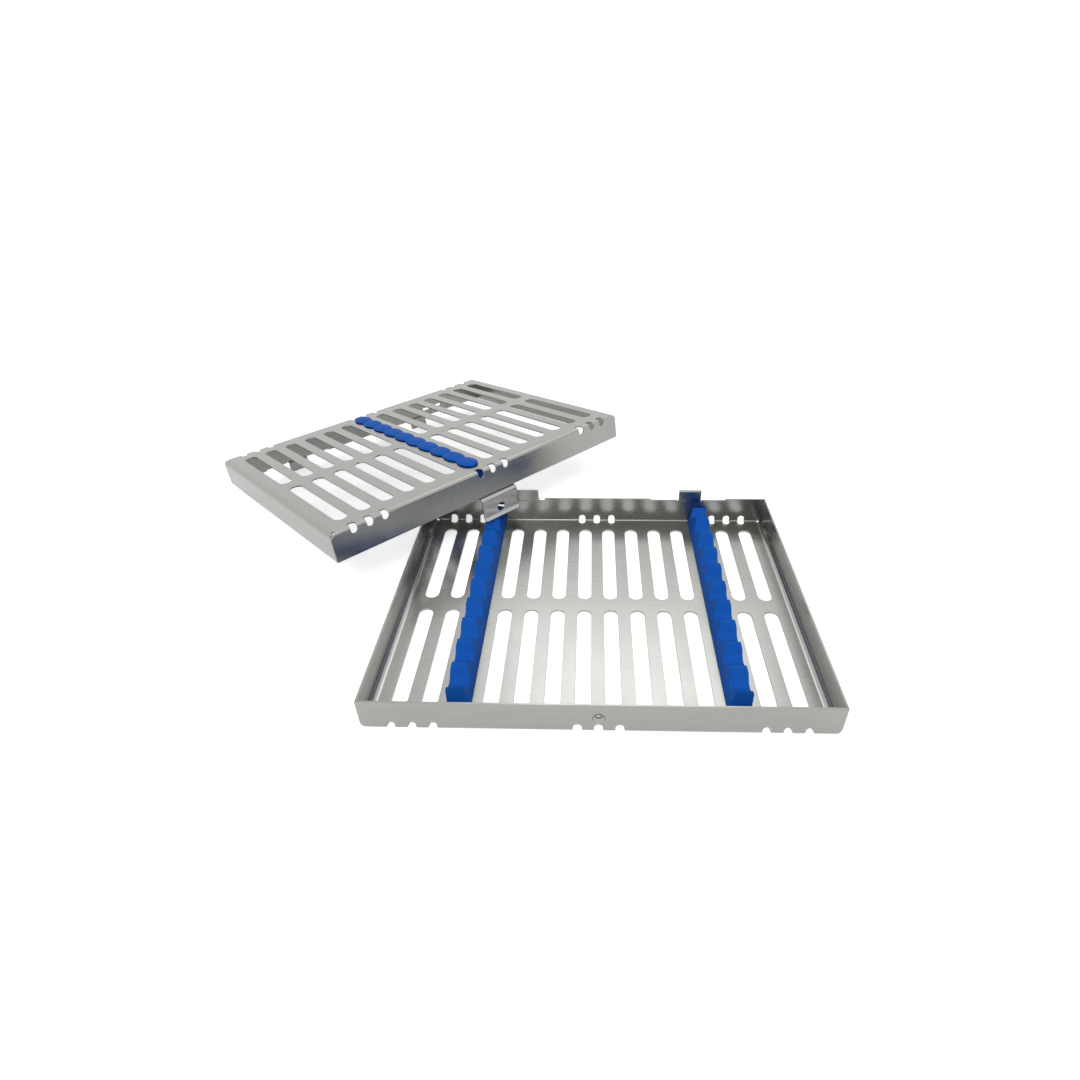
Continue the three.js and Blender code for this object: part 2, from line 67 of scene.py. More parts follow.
# A point of a blank or a curve, and other pairs, such as a size or the two ends of a range.
Point = Tuple[float, float]
Pair = Tuple[float, float]
Loop = List[Point]
# X, Y and Z of a place, the angles about them, and X, Z and radius of a section's corner.
Place = Tuple[float, float, float]
Turn = Tuple[float, float, float]
Corner = Tuple[float, float, float]
Socket = bpy.types.NodeSocket


class Body(Enum):
    """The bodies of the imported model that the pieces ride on."""

    BASE = "base"
    LID = "lid"
    LATCH = "latch"


class Slot(Enum):
    """The record's material slots."""

    TRAY_STEEL = "tray_steel"
    CLIP_STEEL = "clip_steel"
    SILICONE = "silicone"


class Side(Enum):
    """The sides of the base that carry a rack, with the sign of their X."""

    LEFT = -1
    RIGHT = 1


def linear_colour(hex_code: str) -> Tuple[float, float, float, float]:
    """Turns an sRGB hex colour into the linear values that a shader takes.

    Args:
        hex_code: six hex digits, red first.

    Returns:
        Linear red, green, blue and an alpha of one.
    """
    channels = []
    for start in (0, 2, 4):
        value = int(hex_code[start:start + 2], 16) / 255
        channels.append(value / 12.92 if value <= 0.04045 else ((value + 0.055) / 1.055) ** 2.4)
    return (channels[0], channels[1], channels[2], 1.0)


def add_node(tree: bpy.types.NodeTree, kind: str, settings: Optional[dict] = None,
             inputs: Optional[dict] = None) -> bpy.types.Node:
    """Adds one node to a tree with its settings, values and incoming links.

    Args:
        tree: the node tree that takes the node.
        kind: the node's type name.
        settings: attributes of the node itself.
        inputs: socket index or name to a plain value, to an output socket to link from, or to a
            node whose first output is linked.

    Returns:
        The new node.
    """
    node = tree.nodes.new(kind)
    for key, value in (settings or {}).items():
        setattr(node, key, value)
    for key, value in (inputs or {}).items():
        source = value.outputs[0] if isinstance(value, bpy.types.Node) else value
        if isinstance(source, Socket):
            tree.links.new(source, node.inputs[key])
        else:
            node.inputs[key].default_value = source
    return node


def draw_profile(node: bpy.types.Node, points: Sequence[Point]) -> None:
    """Draws a float curve node's curve through points, with straight pieces between them.

    Args:
        node: the float curve node.
        points: the curve's points from left to right, as shares.
    """
    curve = node.mapping.curves[0]
    while len(curve.points) < len(points):
        curve.points.new(*points[-1])
    for slot, point in zip(curve.points, points):
        slot.location = point
        slot.handle_type = "VECTOR"
    node.mapping.update()


def circle_loop(centre: Point, radius: float, steps: int) -> Loop:
    """Draws a circle as a closed loop, anticlockwise.

    Args:
        centre: of the circle.
        radius: of the circle.
        steps: points round it.

    Returns:
        The loop, without its first point repeated at the end.
    """
    turn = 2 * math.pi / steps
    return [(centre[0] + radius * math.cos(i * turn), centre[1] + radius * math.sin(i * turn))
            for i in range(steps)]


def arc(centre: Point, radius: float, start: float, end: float, steps: int) -> Loop:
    """Draws an arc, with both its ends.

    Args:
        centre: of the arc.
        radius: of the arc.
        start: its first angle, in radians.
        end: its last angle, in radians.
        steps: pieces that it has.

    Returns:
        The points, one more than the steps.
    """
    return [(centre[0] + radius * math.cos(start + (end - start) * i / steps),
             centre[1] + radius * math.sin(start + (end - start) * i / steps))
            for i in range(steps + 1)]


def obround_loop(centre_x: float, width: float, low: float, high: float, steps: int) -> Loop:
    """Draws a slot with round ends, long across the blank, anticlockwise.

    Args:
        centre_x: the slot's middle along the blank.
        width: of the slot.
        low: its lower end across the blank.
        high: its upper end.
        steps: pieces on each round end.

    Returns:
        The closed loop.
    """
    radius = width / 2
    return (arc((centre_x, low + radius), radius, math.pi, 2 * math.pi, steps)
            + arc((centre_x, high - radius), radius, 0, math.pi, steps))


def follow_path(pieces: Sequence[Pair], run: float) -> Point:
    """Follows a bent path made of straight and round pieces.

    Args:
        pieces: length and turn in radians of each piece, in order.
        run: distance along the path, which may go beyond the last piece.

    Returns:
        How far ahead and how far to the left of its start the path is there.
    """
    ahead, left, heading = 0.0, 0.0, 0.0
    for number, (length, turn) in enumerate(pieces):
        last = number == len(pieces) - 1
        part = run if last else min(run, length)
        bend = turn / length
        if turn:
            radius = 1 / bend
            ahead += radius * (math.sin(heading + bend * part) - math.sin(heading))
            left += radius * (math.cos(heading) - math.cos(heading + bend * part))
        else:
            ahead += part * math.cos(heading)
            left += part * math.sin(heading)
        heading += bend * part
        run -= part
        if run <= 0:
            break
    return ahead, left


def smooth_step(value: float) -> float:
    """Eases from 0 to 1 as the value does, level at both ends."""
    held = min(max(value, 0.0), 1.0)
    return held * held * (3 - 2 * held)


def inside(loop: Loop, x: float, y: float) -> bool:
    """Tells whether a point lies inside a closed loop.

    Args:
        loop: the closed loop.
        x: the point's place along the blank.
        y: its place across the blank.

    Returns:
        True where a ray from the point crosses the loop an odd number of times.
    """
    found = False
    for (x1, y1), (x2, y2) in zip(loop, loop[1:] + loop[:1]):
        if (y1 > y) != (y2 > y) and x < (x2 - x1) * (y - y1) / (y2 - y1) + x1:
            found = not found
    return found


def inset_loop(loop: Loop, distance: float) -> Loop:
    """Moves a closed loop sideways, with mitred corners.

    Args:
        loop: the closed loop.
        distance: how far it moves to its left.

    Returns:
        The moved loop, with as many points.
    """
    moved = []
    for before, here, after in zip(loop[-1:] + loop[:-1], loop, loop[1:] + loop[:1]):
        first = Vector((before[1] - here[1], here[0] - before[0])).normalized()
        second = Vector((here[1] - after[1], after[0] - here[0])).normalized()
        mitre = (first + second) / max(1 + first.dot(second), LEAST_MITRE)
        moved.append((here[0] + mitre.x * distance, here[1] + mitre.y * distance))
    return moved


def link_object(name: str, mesh: bpy.types.Mesh) -> bpy.types.Object:
    """Makes an object of a mesh and links it to the scene.

    Args:
        name: of the object.
        mesh: its mesh.

    Returns:
        The object, at the origin.
    """
    obj = bpy.data.objects.new(name, mesh)
    bpy.context.scene.collection.objects.link(obj)
    return obj


def finish_mesh(obj: bpy.types.Object, place: Matrix) -> None:
    """Applies the modifiers, moves the mesh into place and gives it smooth, area-weighted normals.

    Args:
        obj: the piece, whose modifiers are applied and removed.
        place: from the mesh's own frame to the shared frame.
    """
    graph = bpy.context.evaluated_depsgraph_get()
    result = bpy.data.meshes.new_from_object(obj.evaluated_get(graph), depsgraph=graph)
    obj.modifiers.clear()
    old = obj.data
    obj.data = result
    bpy.data.meshes.remove(old)
    result.name = obj.name
    work = bmesh.new()
    work.from_mesh(result)
    bmesh.ops.remove_doubles(work, verts=work.verts, dist=MERGE_DISTANCE)
    bmesh.ops.recalc_face_normals(work, faces=work.faces)
    work.to_mesh(result)
    work.free()
    result.transform(place)
    result.polygons.foreach_set("use_smooth", [True] * len(result.polygons))
    weighted = obj.modifiers.new("even_shading", "WEIGHTED_NORMAL")
    weighted.weight = AREA_WEIGHT
    weighted.keep_sharp = False


@dataclass
class FoldedSheet:
    """A flat stamped blank with holes, folded by a rule and given its thickness.

    Attributes:
        outline: the blank's edge, anticlockwise.
        holes: the edges of its holes, anticlockwise.
        lines: extra straight cuts along which the sheet may bend.
        fold: takes a point of the flat blank to its place on the folded middle surface.
        thickness: of the sheet.
        edge_round: radius that tumbling leaves on the stamped edges.
        rings: extra loops of points where the sheet is pressed out of its plane.
    """

    outline: Loop
    holes: List[Loop]
    lines: List[Tuple[Point, Point]]
    fold: Callable[[float, float], Vector]
    thickness: float
    edge_round: float
    rings: List[Loop] = field(default_factory=list)

    # Shares of the edge's radius at which its rounding has a row of points.
    EDGE_ROW_SHARES: ClassVar[Tuple[float, ...]] = (0.0, 0.3, 1.0)

    def loops(self) -> Iterable[Tuple[Loop, int]]:
        """Gives every closed loop of the blank with its row: the first row is the very edge.

        Yields:
            A loop and the number of its row. The extra rings come past the last row.
        """
        for row, share in enumerate(self.EDGE_ROW_SHARES):
            yield inset_loop(self.outline, share * self.edge_round), row
            for hole in self.holes:
                yield inset_loop(hole, -share * self.edge_round), row
        for ring in self.rings:
            yield ring, len(self.EDGE_ROW_SHARES)

    def flat_mesh(self) -> Tuple[List[Vector], List[Sequence[int]], List[int]]:
        """Triangulates the blank with its holes, edge rows and bend lines as edges.

        Returns:
            The flat vertices, the triangles that lie on metal and each vertex's row.
        """
        points: List[Vector] = []
        edges: List[Tuple[int, int]] = []
        rows: List[int] = []
        for loop, row in self.loops():
            first = len(points)
            points.extend(Vector(point) for point in loop)
            edges.extend((first + i, first + (i + 1) % len(loop)) for i in range(len(loop)))
            rows.extend([row] * len(loop))
        for start, end in self.lines:
            first = len(points)
            points.extend((Vector(start), Vector(end)))
            edges.append((first, first + 1))
            rows.append(len(self.EDGE_ROW_SHARES))
        flat, flat_edges, faces, _, sources, _ = delaunay_2d_cdt(
            points, edges, [], 0, BLANK_TOLERANCE)
        level = [len(self.EDGE_ROW_SHARES)] * len(flat)
        for ends, origins in zip(flat_edges, sources):
            for origin in origins:
                for end in ends:
                    level[end] = min(level[end], rows[origin])
        return flat, self.metal_faces(flat, faces), level

    def metal_faces(self, flat: Sequence[Vector],
                    faces: Sequence[Sequence[int]]) -> List[Sequence[int]]:
        """Keeps the triangles that lie inside the outline and outside every hole.

        Args:
            flat: the flat vertices.
            faces: the triangles, as numbers of vertices.

        Returns:
            The triangles that lie on metal.
        """
        boxes = [(min(p[0] for p in hole), max(p[0] for p in hole),
                  min(p[1] for p in hole), max(p[1] for p in hole), hole) for hole in self.holes]
        kept = []
        for face in faces:
            x = sum(flat[i].x for i in face) / len(face)
            y = sum(flat[i].y for i in face) / len(face)
            in_hole = any(x0 < x < x1 and y0 < y < y1 and inside(hole, x, y)
                          for x0, x1, y0, y1, hole in boxes)
            if not in_hole and inside(self.outline, x, y):
                kept.append(face)
        return kept

    def half_thickness(self, row: int) -> float:
        """Gives half the sheet's thickness at a row of the rounded edge.

        Args:
            row: number of the row, counted from the very edge.

        Returns:
            The distance from the middle surface to either face of the sheet.
        """
        if row >= len(self.EDGE_ROW_SHARES) - 1:
            return self.thickness / 2
        away = 1 - self.EDGE_ROW_SHARES[row]
        return self.thickness / 2 - self.edge_round * (1 - math.sqrt(1 - away * away))

    def build(self, name: str, place: Matrix) -> bpy.types.Object:
        """Folds the blank, thickens it with rounded edges and puts it in place.

        Args:
            name: of the piece.
            place: from the sheet's own frame, in metres, to the shared frame.

        Returns:
            The finished object, at the origin with its place in its mesh.
        """
        flat, faces, level = self.flat_mesh()
        used = sorted({i for face in faces for i in face})
        order = {old: new for new, old in enumerate(used)}
        middle = bmesh.new()
        verts = [middle.verts.new(self.fold(flat[i].x, flat[i].y)) for i in used]
        for face in faces:
            middle.faces.new([verts[order[i]] for i in face])
        middle.normal_update()
        middle.verts.index_update()
        solid = bmesh.new()
        sides = []
        for direction in (1, -1):
            sides.append([
                solid.verts.new((vert.co + vert.normal * direction * self.half_thickness(level[i])) * MM)
                for vert, i in zip(middle.verts, used)])
        over, under = sides
        for face in middle.faces:
            corners = [vert.index for vert in face.verts]
            solid.faces.new([over[i] for i in corners])
            solid.faces.new([under[i] for i in reversed(corners)])
        for edge in middle.edges:
            if edge.is_boundary:
                a, b = (vert.index for vert in edge.verts)
                solid.faces.new((over[a], over[b], under[b], under[a]))
        middle.free()
        mesh = bpy.data.meshes.new(name)
        solid.to_mesh(mesh)
        solid.free()
        obj = link_object(name, mesh)
        finish_mesh(obj, place)
        return obj


class Part:
    """What every sub-assembly shares: its material slot, and how its piece is dressed.

    Attributes:
        SLOT: the record's slot for its finish.
    """

    SLOT: ClassVar[Slot]

    def dress(self, obj: bpy.types.Object, material: bpy.types.Material, body: Body,
              node: str) -> None:
        """Gives a finished piece its material and body, and hides the CAD node that it stands for.

        Args:
            obj: the piece.
            material: that it wears.
            body: that it rides on.
            node: the CAD node that it replaces.
        """
        if not obj.data.materials or obj.data.materials[0] != material:
            obj.data.materials.clear()
            obj.data.materials.append(material)
        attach(obj, body.value)
        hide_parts(node)
        log.info("%s: %d faces, %s", obj.name, len(obj.data.polygons), material.name)


@dataclass
class TrayHalf(Part):
    """The stamping that serves as base and, turned over, as lid. Sizes in millimetres."""

    SLOT: ClassVar[Slot] = Slot.TRAY_STEEL

    # The sheet, the walls and the outer radii of the two bends.
    width: float = 180.0
    depth: float = 143.0
    height: float = 14.5
    sheet: float = 0.8
    end_bend: float = 3.5
    long_bend: float = 1.4

    # The long slots, two to a column.
    columns: int = 14
    slot_width: float = 6.5
    slot_end_margin: float = 11.6
    slot_side_margin: float = 10.2
    slot_bridge: float = 7.8

    # The drain notches across both long bends, in three groups of three.
    notch_width: float = 3.4
    notch_reach: float = 4.0
    notch_pitch: float = 8.0
    notch_corner_inset: float = 19.5

    # The corners: a relief hole, a step from it to the long wall's end, and the seam of both walls,
    # with a margin past the seam that still folds with the end wall.
    relief_radius: float = 0.9
    relief_inset: float = 2.2
    relief_step: float = 0.05
    seam: float = 0.3
    seam_margin: float = 0.05

    # The plain tab and the hooked tab of the rear wall, joggled inward.
    tab_width: float = 11.8
    tab_height: float = 5.7
    tab_one_start: float = 31.4
    tab_gap: float = 0.4
    tab_clearance: float = 0.3
    tab_slit: float = 0.4
    tab_corner: float = 1.0
    tab_side_margin: float = 0.01
    joggle_drop: float = 1.5
    joggle_shoulder: float = 0.2
    hook_bend: float = 0.6
    hook_lip: float = 0.7

    # The window that the other half's hook catches in, measured down from the rim.
    window_top_drop: float = 4.0
    window_bottom_drop: float = 5.6
    window_inner_play: float = 0.2
    window_outer_play: float = 2.1

    # The lowered rim round the hooked tab, and the notch beside the plain tab.
    rim_relief: float = 0.7
    rim_relief_inner: float = 2.7
    rim_relief_outer: float = 13.4
    tab_notch_width: float = 2.3
    tab_notch_offset: float = 0.8

    # The tumbled edge, and the catch that is pressed out of the base's front wall.
    edge_round: float = 0.12
    catch_radius: float = 2.1
    catch_rise: float = 1.4
    catch_height: float = 7.2

    # Pieces on round ends, corners, bends and rings.
    arc_steps: int = 9
    tab_corner_steps: int = 4
    end_bend_steps: int = 9
    long_bend_steps: int = 6
    catch_steps: int = 20

    # Shares of the catch's radius at which it has a ring of points.
    CATCH_RING_SHARES: ClassVar[Tuple[float, ...]] = (0.2, 0.45, 0.65, 0.8, 0.9, 0.97, 1.0, 1.08)

    def __post_init__(self) -> None:
        """Works out the flat positions of the bend lines, rims and tabs."""
        self.end_middle = self.end_bend - self.sheet / 2
        self.long_middle = self.long_bend - self.sheet / 2
        self.end_start = self.width / 2 - self.end_bend
        self.long_start = self.depth / 2 - self.long_bend
        self.end_arc = self.end_middle * math.pi / 2
        self.long_arc = self.long_middle * math.pi / 2
        self.end_rim = self.end_start + self.end_arc + self.height - self.end_bend
        self.relief_x = self.width / 2 - self.relief_inset
        self.seam_y = self.depth / 2 - self.sheet - self.seam
        self.tab_one_end = self.tab_one_start + self.tab_width
        self.tab_two_start = self.tab_one_end + self.tab_gap
        self.tab_two_end = self.tab_two_start + self.tab_width
        self.joggle = self.sheet + self.tab_clearance
        self.joggle_root = self.height - self.joggle_drop
        self.pitch = (self.width - 2 * self.slot_end_margin) / (self.columns - 1)
        self.slot_inner = self.slot_bridge / 2
        self.slot_outer = self.depth / 2 - self.slot_side_margin

    def flat_run(self, height: float) -> float:
        """Gives the flat distance from the middle to a height on a long wall."""
        return self.long_start + self.long_arc + height - self.long_bend

    def panel_end(self, run: float) -> float:
        """Gives half the length of a long wall, whose ends follow the end wall's bend.

        Args:
            run: flat distance from the middle of the blank.

        Returns:
            Half the wall's length there.
        """
        if run < self.long_start + self.long_arc:
            angle = (run - self.long_start) / self.long_middle
            height = self.long_bend - self.long_middle * math.cos(angle)
        else:
            height = run - self.long_start - self.long_arc + self.long_bend
        if height >= self.end_bend:
            return self.width / 2
        return self.end_start + math.sqrt(self.end_bend ** 2 - (self.end_bend - height) ** 2)

    def corner(self) -> Loop:
        """Draws the blank's edge at one corner: end wall's seam, relief hole, long wall's end.

        Returns:
            The points from the end wall's rim to the long wall's rim.
        """
        hole = (self.relief_x, self.long_start)
        start = math.asin((self.seam_y - hole[1]) / self.relief_radius)
        points = [(self.end_rim, self.seam_y)]
        points += arc(hole, self.relief_radius, start, -1.5 * math.pi, self.arc_steps)
        low = hole[1] + self.relief_radius + self.relief_step
        high = self.flat_run(self.end_bend)
        for i in range(self.end_bend_steps + 1):
            run = low + (high - low) * i / self.end_bend_steps
            points.append((self.panel_end(run), run))
        points.append((self.width / 2, self.flat_run(self.height)))
        return points

    def rear_rim(self) -> Loop:
        """Draws the rear wall's rim, with the tabs, their slits, the lowered rim and the notch.

        Returns:
            The points from right to left, without the wall's two ends.
        """
        rim = self.flat_run(self.height)
        low = self.flat_run(self.height - self.rim_relief)
        root = self.flat_run(self.joggle_root)
        tip = self.flat_run(self.height + self.tab_height)
        hooked = tip - self.sheet / 2 + self.hook_bend * (math.pi / 2 - 1) + self.hook_lip
        corner = self.tab_corner
        steps = self.tab_corner_steps
        notch = self.tab_notch_offset - self.tab_one_start
        relief_end = self.tab_two_end + self.rim_relief_outer
        relief_start = self.tab_one_start - self.rim_relief_inner
        return [
            (relief_end, rim), (relief_end, low),
            (self.tab_two_end + self.tab_slit, low), (self.tab_two_end + self.tab_slit, root),
            (self.tab_two_end, root), (self.tab_two_end, hooked),
            (self.tab_two_start, hooked), (self.tab_two_start, root),
            (self.tab_two_start - self.tab_slit, root), (self.tab_two_start - self.tab_slit, low),
            (relief_start, low), (relief_start, rim),
            (notch + self.tab_notch_width, rim), (notch + self.tab_notch_width, root),
            (notch, root), (notch, rim),
            (self.tab_slit - self.tab_one_start, rim), (self.tab_slit - self.tab_one_start, root),
            (-self.tab_one_start, root),
            *arc((-self.tab_one_start - corner, tip - corner), corner, 0, math.pi / 2, steps),
            *arc((-self.tab_one_end + corner, tip - corner), corner, math.pi / 2, math.pi, steps),
            (-self.tab_one_end, root), (-self.tab_one_end - self.tab_slit, root),
            (-self.tab_one_end - self.tab_slit, rim),
        ]

    def outline(self) -> Loop:
        """Draws the whole blank's edge, anticlockwise.

        Returns:
            The closed loop.
        """
        corner = self.corner()
        left_corner = [(-x, y) for x, y in reversed(corner)]
        upper = corner + self.rear_rim() + left_corner
        lower = [(-x, -y) for x, y in corner] + [(x, -y) for x, y in reversed(corner)]
        return upper + lower

    def slot_centres(self) -> List[float]:
        """Gives the slot columns' places along the tray."""
        return [self.slot_end_margin - self.width / 2 + i * self.pitch for i in range(self.columns)]

    def holes(self) -> List[Loop]:
        """Draws the long slots in two rows, the drain notches and the window for the hook.

        Returns:
            The closed loops, anticlockwise.
        """
        holes = []
        for x in self.slot_centres():
            for low, high in ((self.slot_inner, self.slot_outer), (-self.slot_outer, -self.slot_inner)):
                holes.append(obround_loop(x, self.slot_width, low, high, self.arc_steps))
        inner = self.depth / 2 - self.notch_reach
        outer = self.flat_run(self.notch_reach)
        group = self.width / 2 - self.notch_corner_inset
        for middle in (-group, 0.0, group):
            for place in (-1, 0, 1):
                x = middle + place * self.notch_pitch
                holes.append(obround_loop(x, self.notch_width, inner, outer, self.arc_steps))
                holes.append(obround_loop(x, self.notch_width, -outer, -inner, self.arc_steps))
        left = -self.tab_two_end - self.window_outer_play
        right = self.window_inner_play - self.tab_two_start
        low = self.flat_run(self.height - self.window_bottom_drop)
        high = self.flat_run(self.height - self.window_top_drop)
        holes.append([(left, low), (right, low), (right, high), (left, high)])
        return holes

    def bend_lines(self) -> List[Tuple[Point, Point]]:
        """Draws cuts across the blank where it curves: both bends, the joggles and the hook.

        Returns:
            The two ends of each cut.
        """
        lines = []
        for i in range(self.end_bend_steps + 1):
            x = self.end_start + self.end_arc * i / self.end_bend_steps
            end = self.seam_y if x > self.relief_x else self.long_start
            for side in (-1, 1):
                lines.append(((side * x, -end), (side * x, end)))
        half = self.relief_x - self.relief_radius
        for i in range(self.long_bend_steps + 1):
            y = self.long_start + self.long_arc * i / self.long_bend_steps
            for side in (-1, 1):
                lines.append(((-half, side * y), (half, side * y)))
        root = self.flat_run(self.joggle_root)
        shoulder = self.flat_run(self.height - self.joggle_shoulder)
        tip = self.flat_run(self.height + self.tab_height) - self.sheet / 2
        for low, high in ((-self.tab_one_end, -self.tab_one_start),
                          (self.tab_two_start, self.tab_two_end)):
            for i in range(self.long_bend_steps + 1):
                y = root + (shoulder - root) * i / self.long_bend_steps
                lines.append(((low, y), (high, y)))
        for i in range(self.long_bend_steps + 1):
            y = tip - self.hook_bend + self.hook_bend * math.pi / 2 * i / self.long_bend_steps
            lines.append(((self.tab_two_start, y), (self.tab_two_end, y)))
        return lines

    def fold(self, x: float, y: float) -> Vector:
        """Takes a point of the flat blank to the folded middle surface, in the tray's frame.

        Args:
            x: along the blank.
            y: across the blank.

        Returns:
            The folded place, with the underside at height zero and the open side up.
        """
        side_x = math.copysign(1, x)
        side_y = math.copysign(1, y)
        far_x = abs(x)
        far_y = abs(y)
        base = self.sheet / 2
        beside_seam = far_x > self.relief_x and far_y < self.seam_y + self.seam_margin
        if far_x > self.end_start and (far_y <= self.long_start or beside_seam):
            run = far_x - self.end_start
            if run <= self.end_arc:
                angle = run / self.end_middle
                return Vector((side_x * (self.end_start + self.end_middle * math.sin(angle)), y,
                               base + self.end_middle * (1 - math.cos(angle))))
            return Vector((side_x * (self.width / 2 - base), y, self.end_bend + run - self.end_arc))
        if far_y > self.long_start:
            run = far_y - self.long_start
            if run <= self.long_arc:
                angle = run / self.long_middle
                return Vector((x, side_y * (self.long_start + self.long_middle * math.sin(angle)),
                               base + self.long_middle * (1 - math.cos(angle))))
            height = self.long_bend + run - self.long_arc
            wall = self.depth / 2 - base
            wall, height = self.tab_place(x, side_y, wall, height)
            return Vector((x, side_y * wall, height))
        return Vector((x, y, base))

    def tab_place(self, x: float, side: float, wall: float, height: float) -> Pair:
        """Moves points of the rear tabs inward by the joggle, and bends the hook outward.

        Args:
            x: along the wall.
            side: 1 on the rear wall, -1 on the front wall.
            wall: distance of the wall's middle surface from the tray's middle.
            height: straight height of the point.

        Returns:
            The distance and height after forming.
        """
        margin = self.tab_side_margin
        on_one = -self.tab_one_end - margin < x < margin - self.tab_one_start
        on_two = self.tab_two_start - margin < x < self.tab_two_end + margin
        if side < 0 or height <= self.joggle_root or not (on_one or on_two):
            return wall, height
        run = self.joggle_drop - self.joggle_shoulder
        wall -= self.joggle * smooth_step((height - self.joggle_root) / run)
        hook_start = self.height + self.tab_height - self.sheet / 2 - self.hook_bend
        if on_two and height > hook_start:
            angle = min((height - hook_start) / self.hook_bend, math.pi / 2)
            beyond = max(height - hook_start - self.hook_bend * math.pi / 2, 0.0)
            wall += self.hook_bend * (1 - math.cos(angle)) + beyond
            height = hook_start + self.hook_bend * math.sin(angle)
        return wall, height

    def catch_place(self, x: float, y: float) -> Vector:
        """Folds a point as fold() does, with the catch pressed out of the front wall.

        Args:
            x: along the blank.
            y: across the blank.

        Returns:
            The place on the middle surface, in the tray's frame.
        """
        point = self.fold(x, y)
        if y > -self.long_start - self.long_arc:
            return point
        away = math.hypot(x, point.z - self.catch_height)
        if away < self.catch_radius:
            swell = math.sqrt(1 - (away / self.catch_radius) ** 2)
            point.y -= self.catch_rise * swell
        return point

    def catch_rings(self) -> List[Loop]:
        """Draws the rings of extra points on the blank round the catch.

        Returns:
            The closed loops, from the catch's middle outwards.
        """
        centre = (0.0, -self.flat_run(self.catch_height))
        return [circle_loop(centre, self.catch_radius * share, self.catch_steps)
                for share in self.CATCH_RING_SHARES]

    def build(self, name: str, place: Matrix, with_catch: bool) -> bpy.types.Object:
        """Builds the tray.

        Args:
            name: of the piece.
            place: from the tray's frame to the shared frame.
            with_catch: whether the front wall has the pressed catch.

        Returns:
            The finished piece.
        """
        blank = FoldedSheet(
            outline=self.outline(), holes=self.holes(), lines=self.bend_lines(),
            fold=self.catch_place if with_catch else self.fold, thickness=self.sheet,
            edge_round=self.edge_round, rings=self.catch_rings() if with_catch else [])
        return blank.build(name, place)


@dataclass
class SpringClip(Part):
    """The S-bent latch: a flange inside the lid's front wall, a shoulder under its rim, a plate.

    Sizes in millimetres, in the lid's frame: its rim is at height zero, its front towards -Y.
    """

    SLOT: ClassVar[Slot] = Slot.CLIP_STEEL

    # The strip, the flange inside the wall and the first bend, under the rim.
    width: float = 22.7
    sheet: float = 0.6
    flange: float = 6.0
    flange_y: float = -70.1
    under: float = 0.6
    inner_bend: float = 0.8

    # The wide bend of the shoulder, and the plate that leans outward.
    shoulder: float = 1.5
    shoulder_y: float = -71.4
    plate_lean: float = math.radians(1.8)

    # The lip at the plate's lower end.
    lip_start: float = 11.6
    lip_turn: float = math.radians(46)
    lip_bend: float = 1.0
    lip_length: float = 1.55

    # The hole for the catch, the rounded corners and the tumbled edge.
    hole_radius: float = 2.4
    hole_drop: float = 8.5
    corner_radius: float = 1.2
    edge_round: float = 0.09
    bend_steps: int = 8
    hole_steps: int = 40

    # The plate's number among the pieces of the path.
    PLATE: ClassVar[int] = 4

    def __post_init__(self) -> None:
        """Lays out the path of the sheet's middle surface, from the flange's top edge to the lip."""
        first = self.flange + self.under - self.inner_bend
        level = self.flange_y - self.inner_bend - self.shoulder_y
        turn = math.pi / 2 + self.plate_lean
        plate = (self.lip_start - self.under - self.shoulder) / math.cos(self.plate_lean)
        plate -= self.lip_bend * self.lip_turn / 2
        self.path = [
            (first, 0.0), (self.inner_bend * math.pi / 2, -math.pi / 2), (level, 0.0),
            (self.shoulder * turn, turn), (plate, 0.0),
            (self.lip_bend * self.lip_turn, -self.lip_turn), (self.lip_length, 0.0)]

    def run_to(self, piece: int) -> float:
        """Gives the flat distance to the start of a piece of the path."""
        return sum(length for length, _ in self.path[:piece])

    def fold(self, x: float, run: float) -> Vector:
        """Takes a point of the flat strip to its place in the lid's frame.

        Args:
            x: across the strip.
            run: along the strip, from the flange's top edge.

        Returns:
            The place on the middle surface.
        """
        ahead, left = follow_path(self.path, run)
        return Vector((x, self.flange_y + left, self.flange - ahead))

    def build(self, name: str, place: Matrix) -> bpy.types.Object:
        """Builds the clip.

        Args:
            name: of the piece.
            place: from the lid's frame to the shared frame.

        Returns:
            The finished piece.
        """
        half = self.width / 2
        end = self.run_to(len(self.path))
        radius = self.corner_radius
        outline = [(-half, 0.0), (half, 0.0)]
        outline += arc((half - radius, end - radius), radius, 0, math.pi / 2, self.bend_steps)
        outline += arc((radius - half, end - radius), radius, math.pi / 2, math.pi, self.bend_steps)
        hole_run = self.run_to(self.PLATE) + (self.hole_drop - self.under - self.shoulder)
        lines = []
        for piece, (length, turn) in enumerate(self.path):
            if not turn:
                continue
            start = self.run_to(piece)
            for i in range(self.bend_steps + 1):
                run = start + length * i / self.bend_steps
                lines.append(((-half, run), (half, run)))
        blank = FoldedSheet(
            outline=outline,
            holes=[circle_loop((0.0, hole_run), self.hole_radius, self.hole_steps)],
            lines=lines, fold=self.fold, thickness=self.sheet, edge_round=self.edge_round)
        return blank.build(name, place)


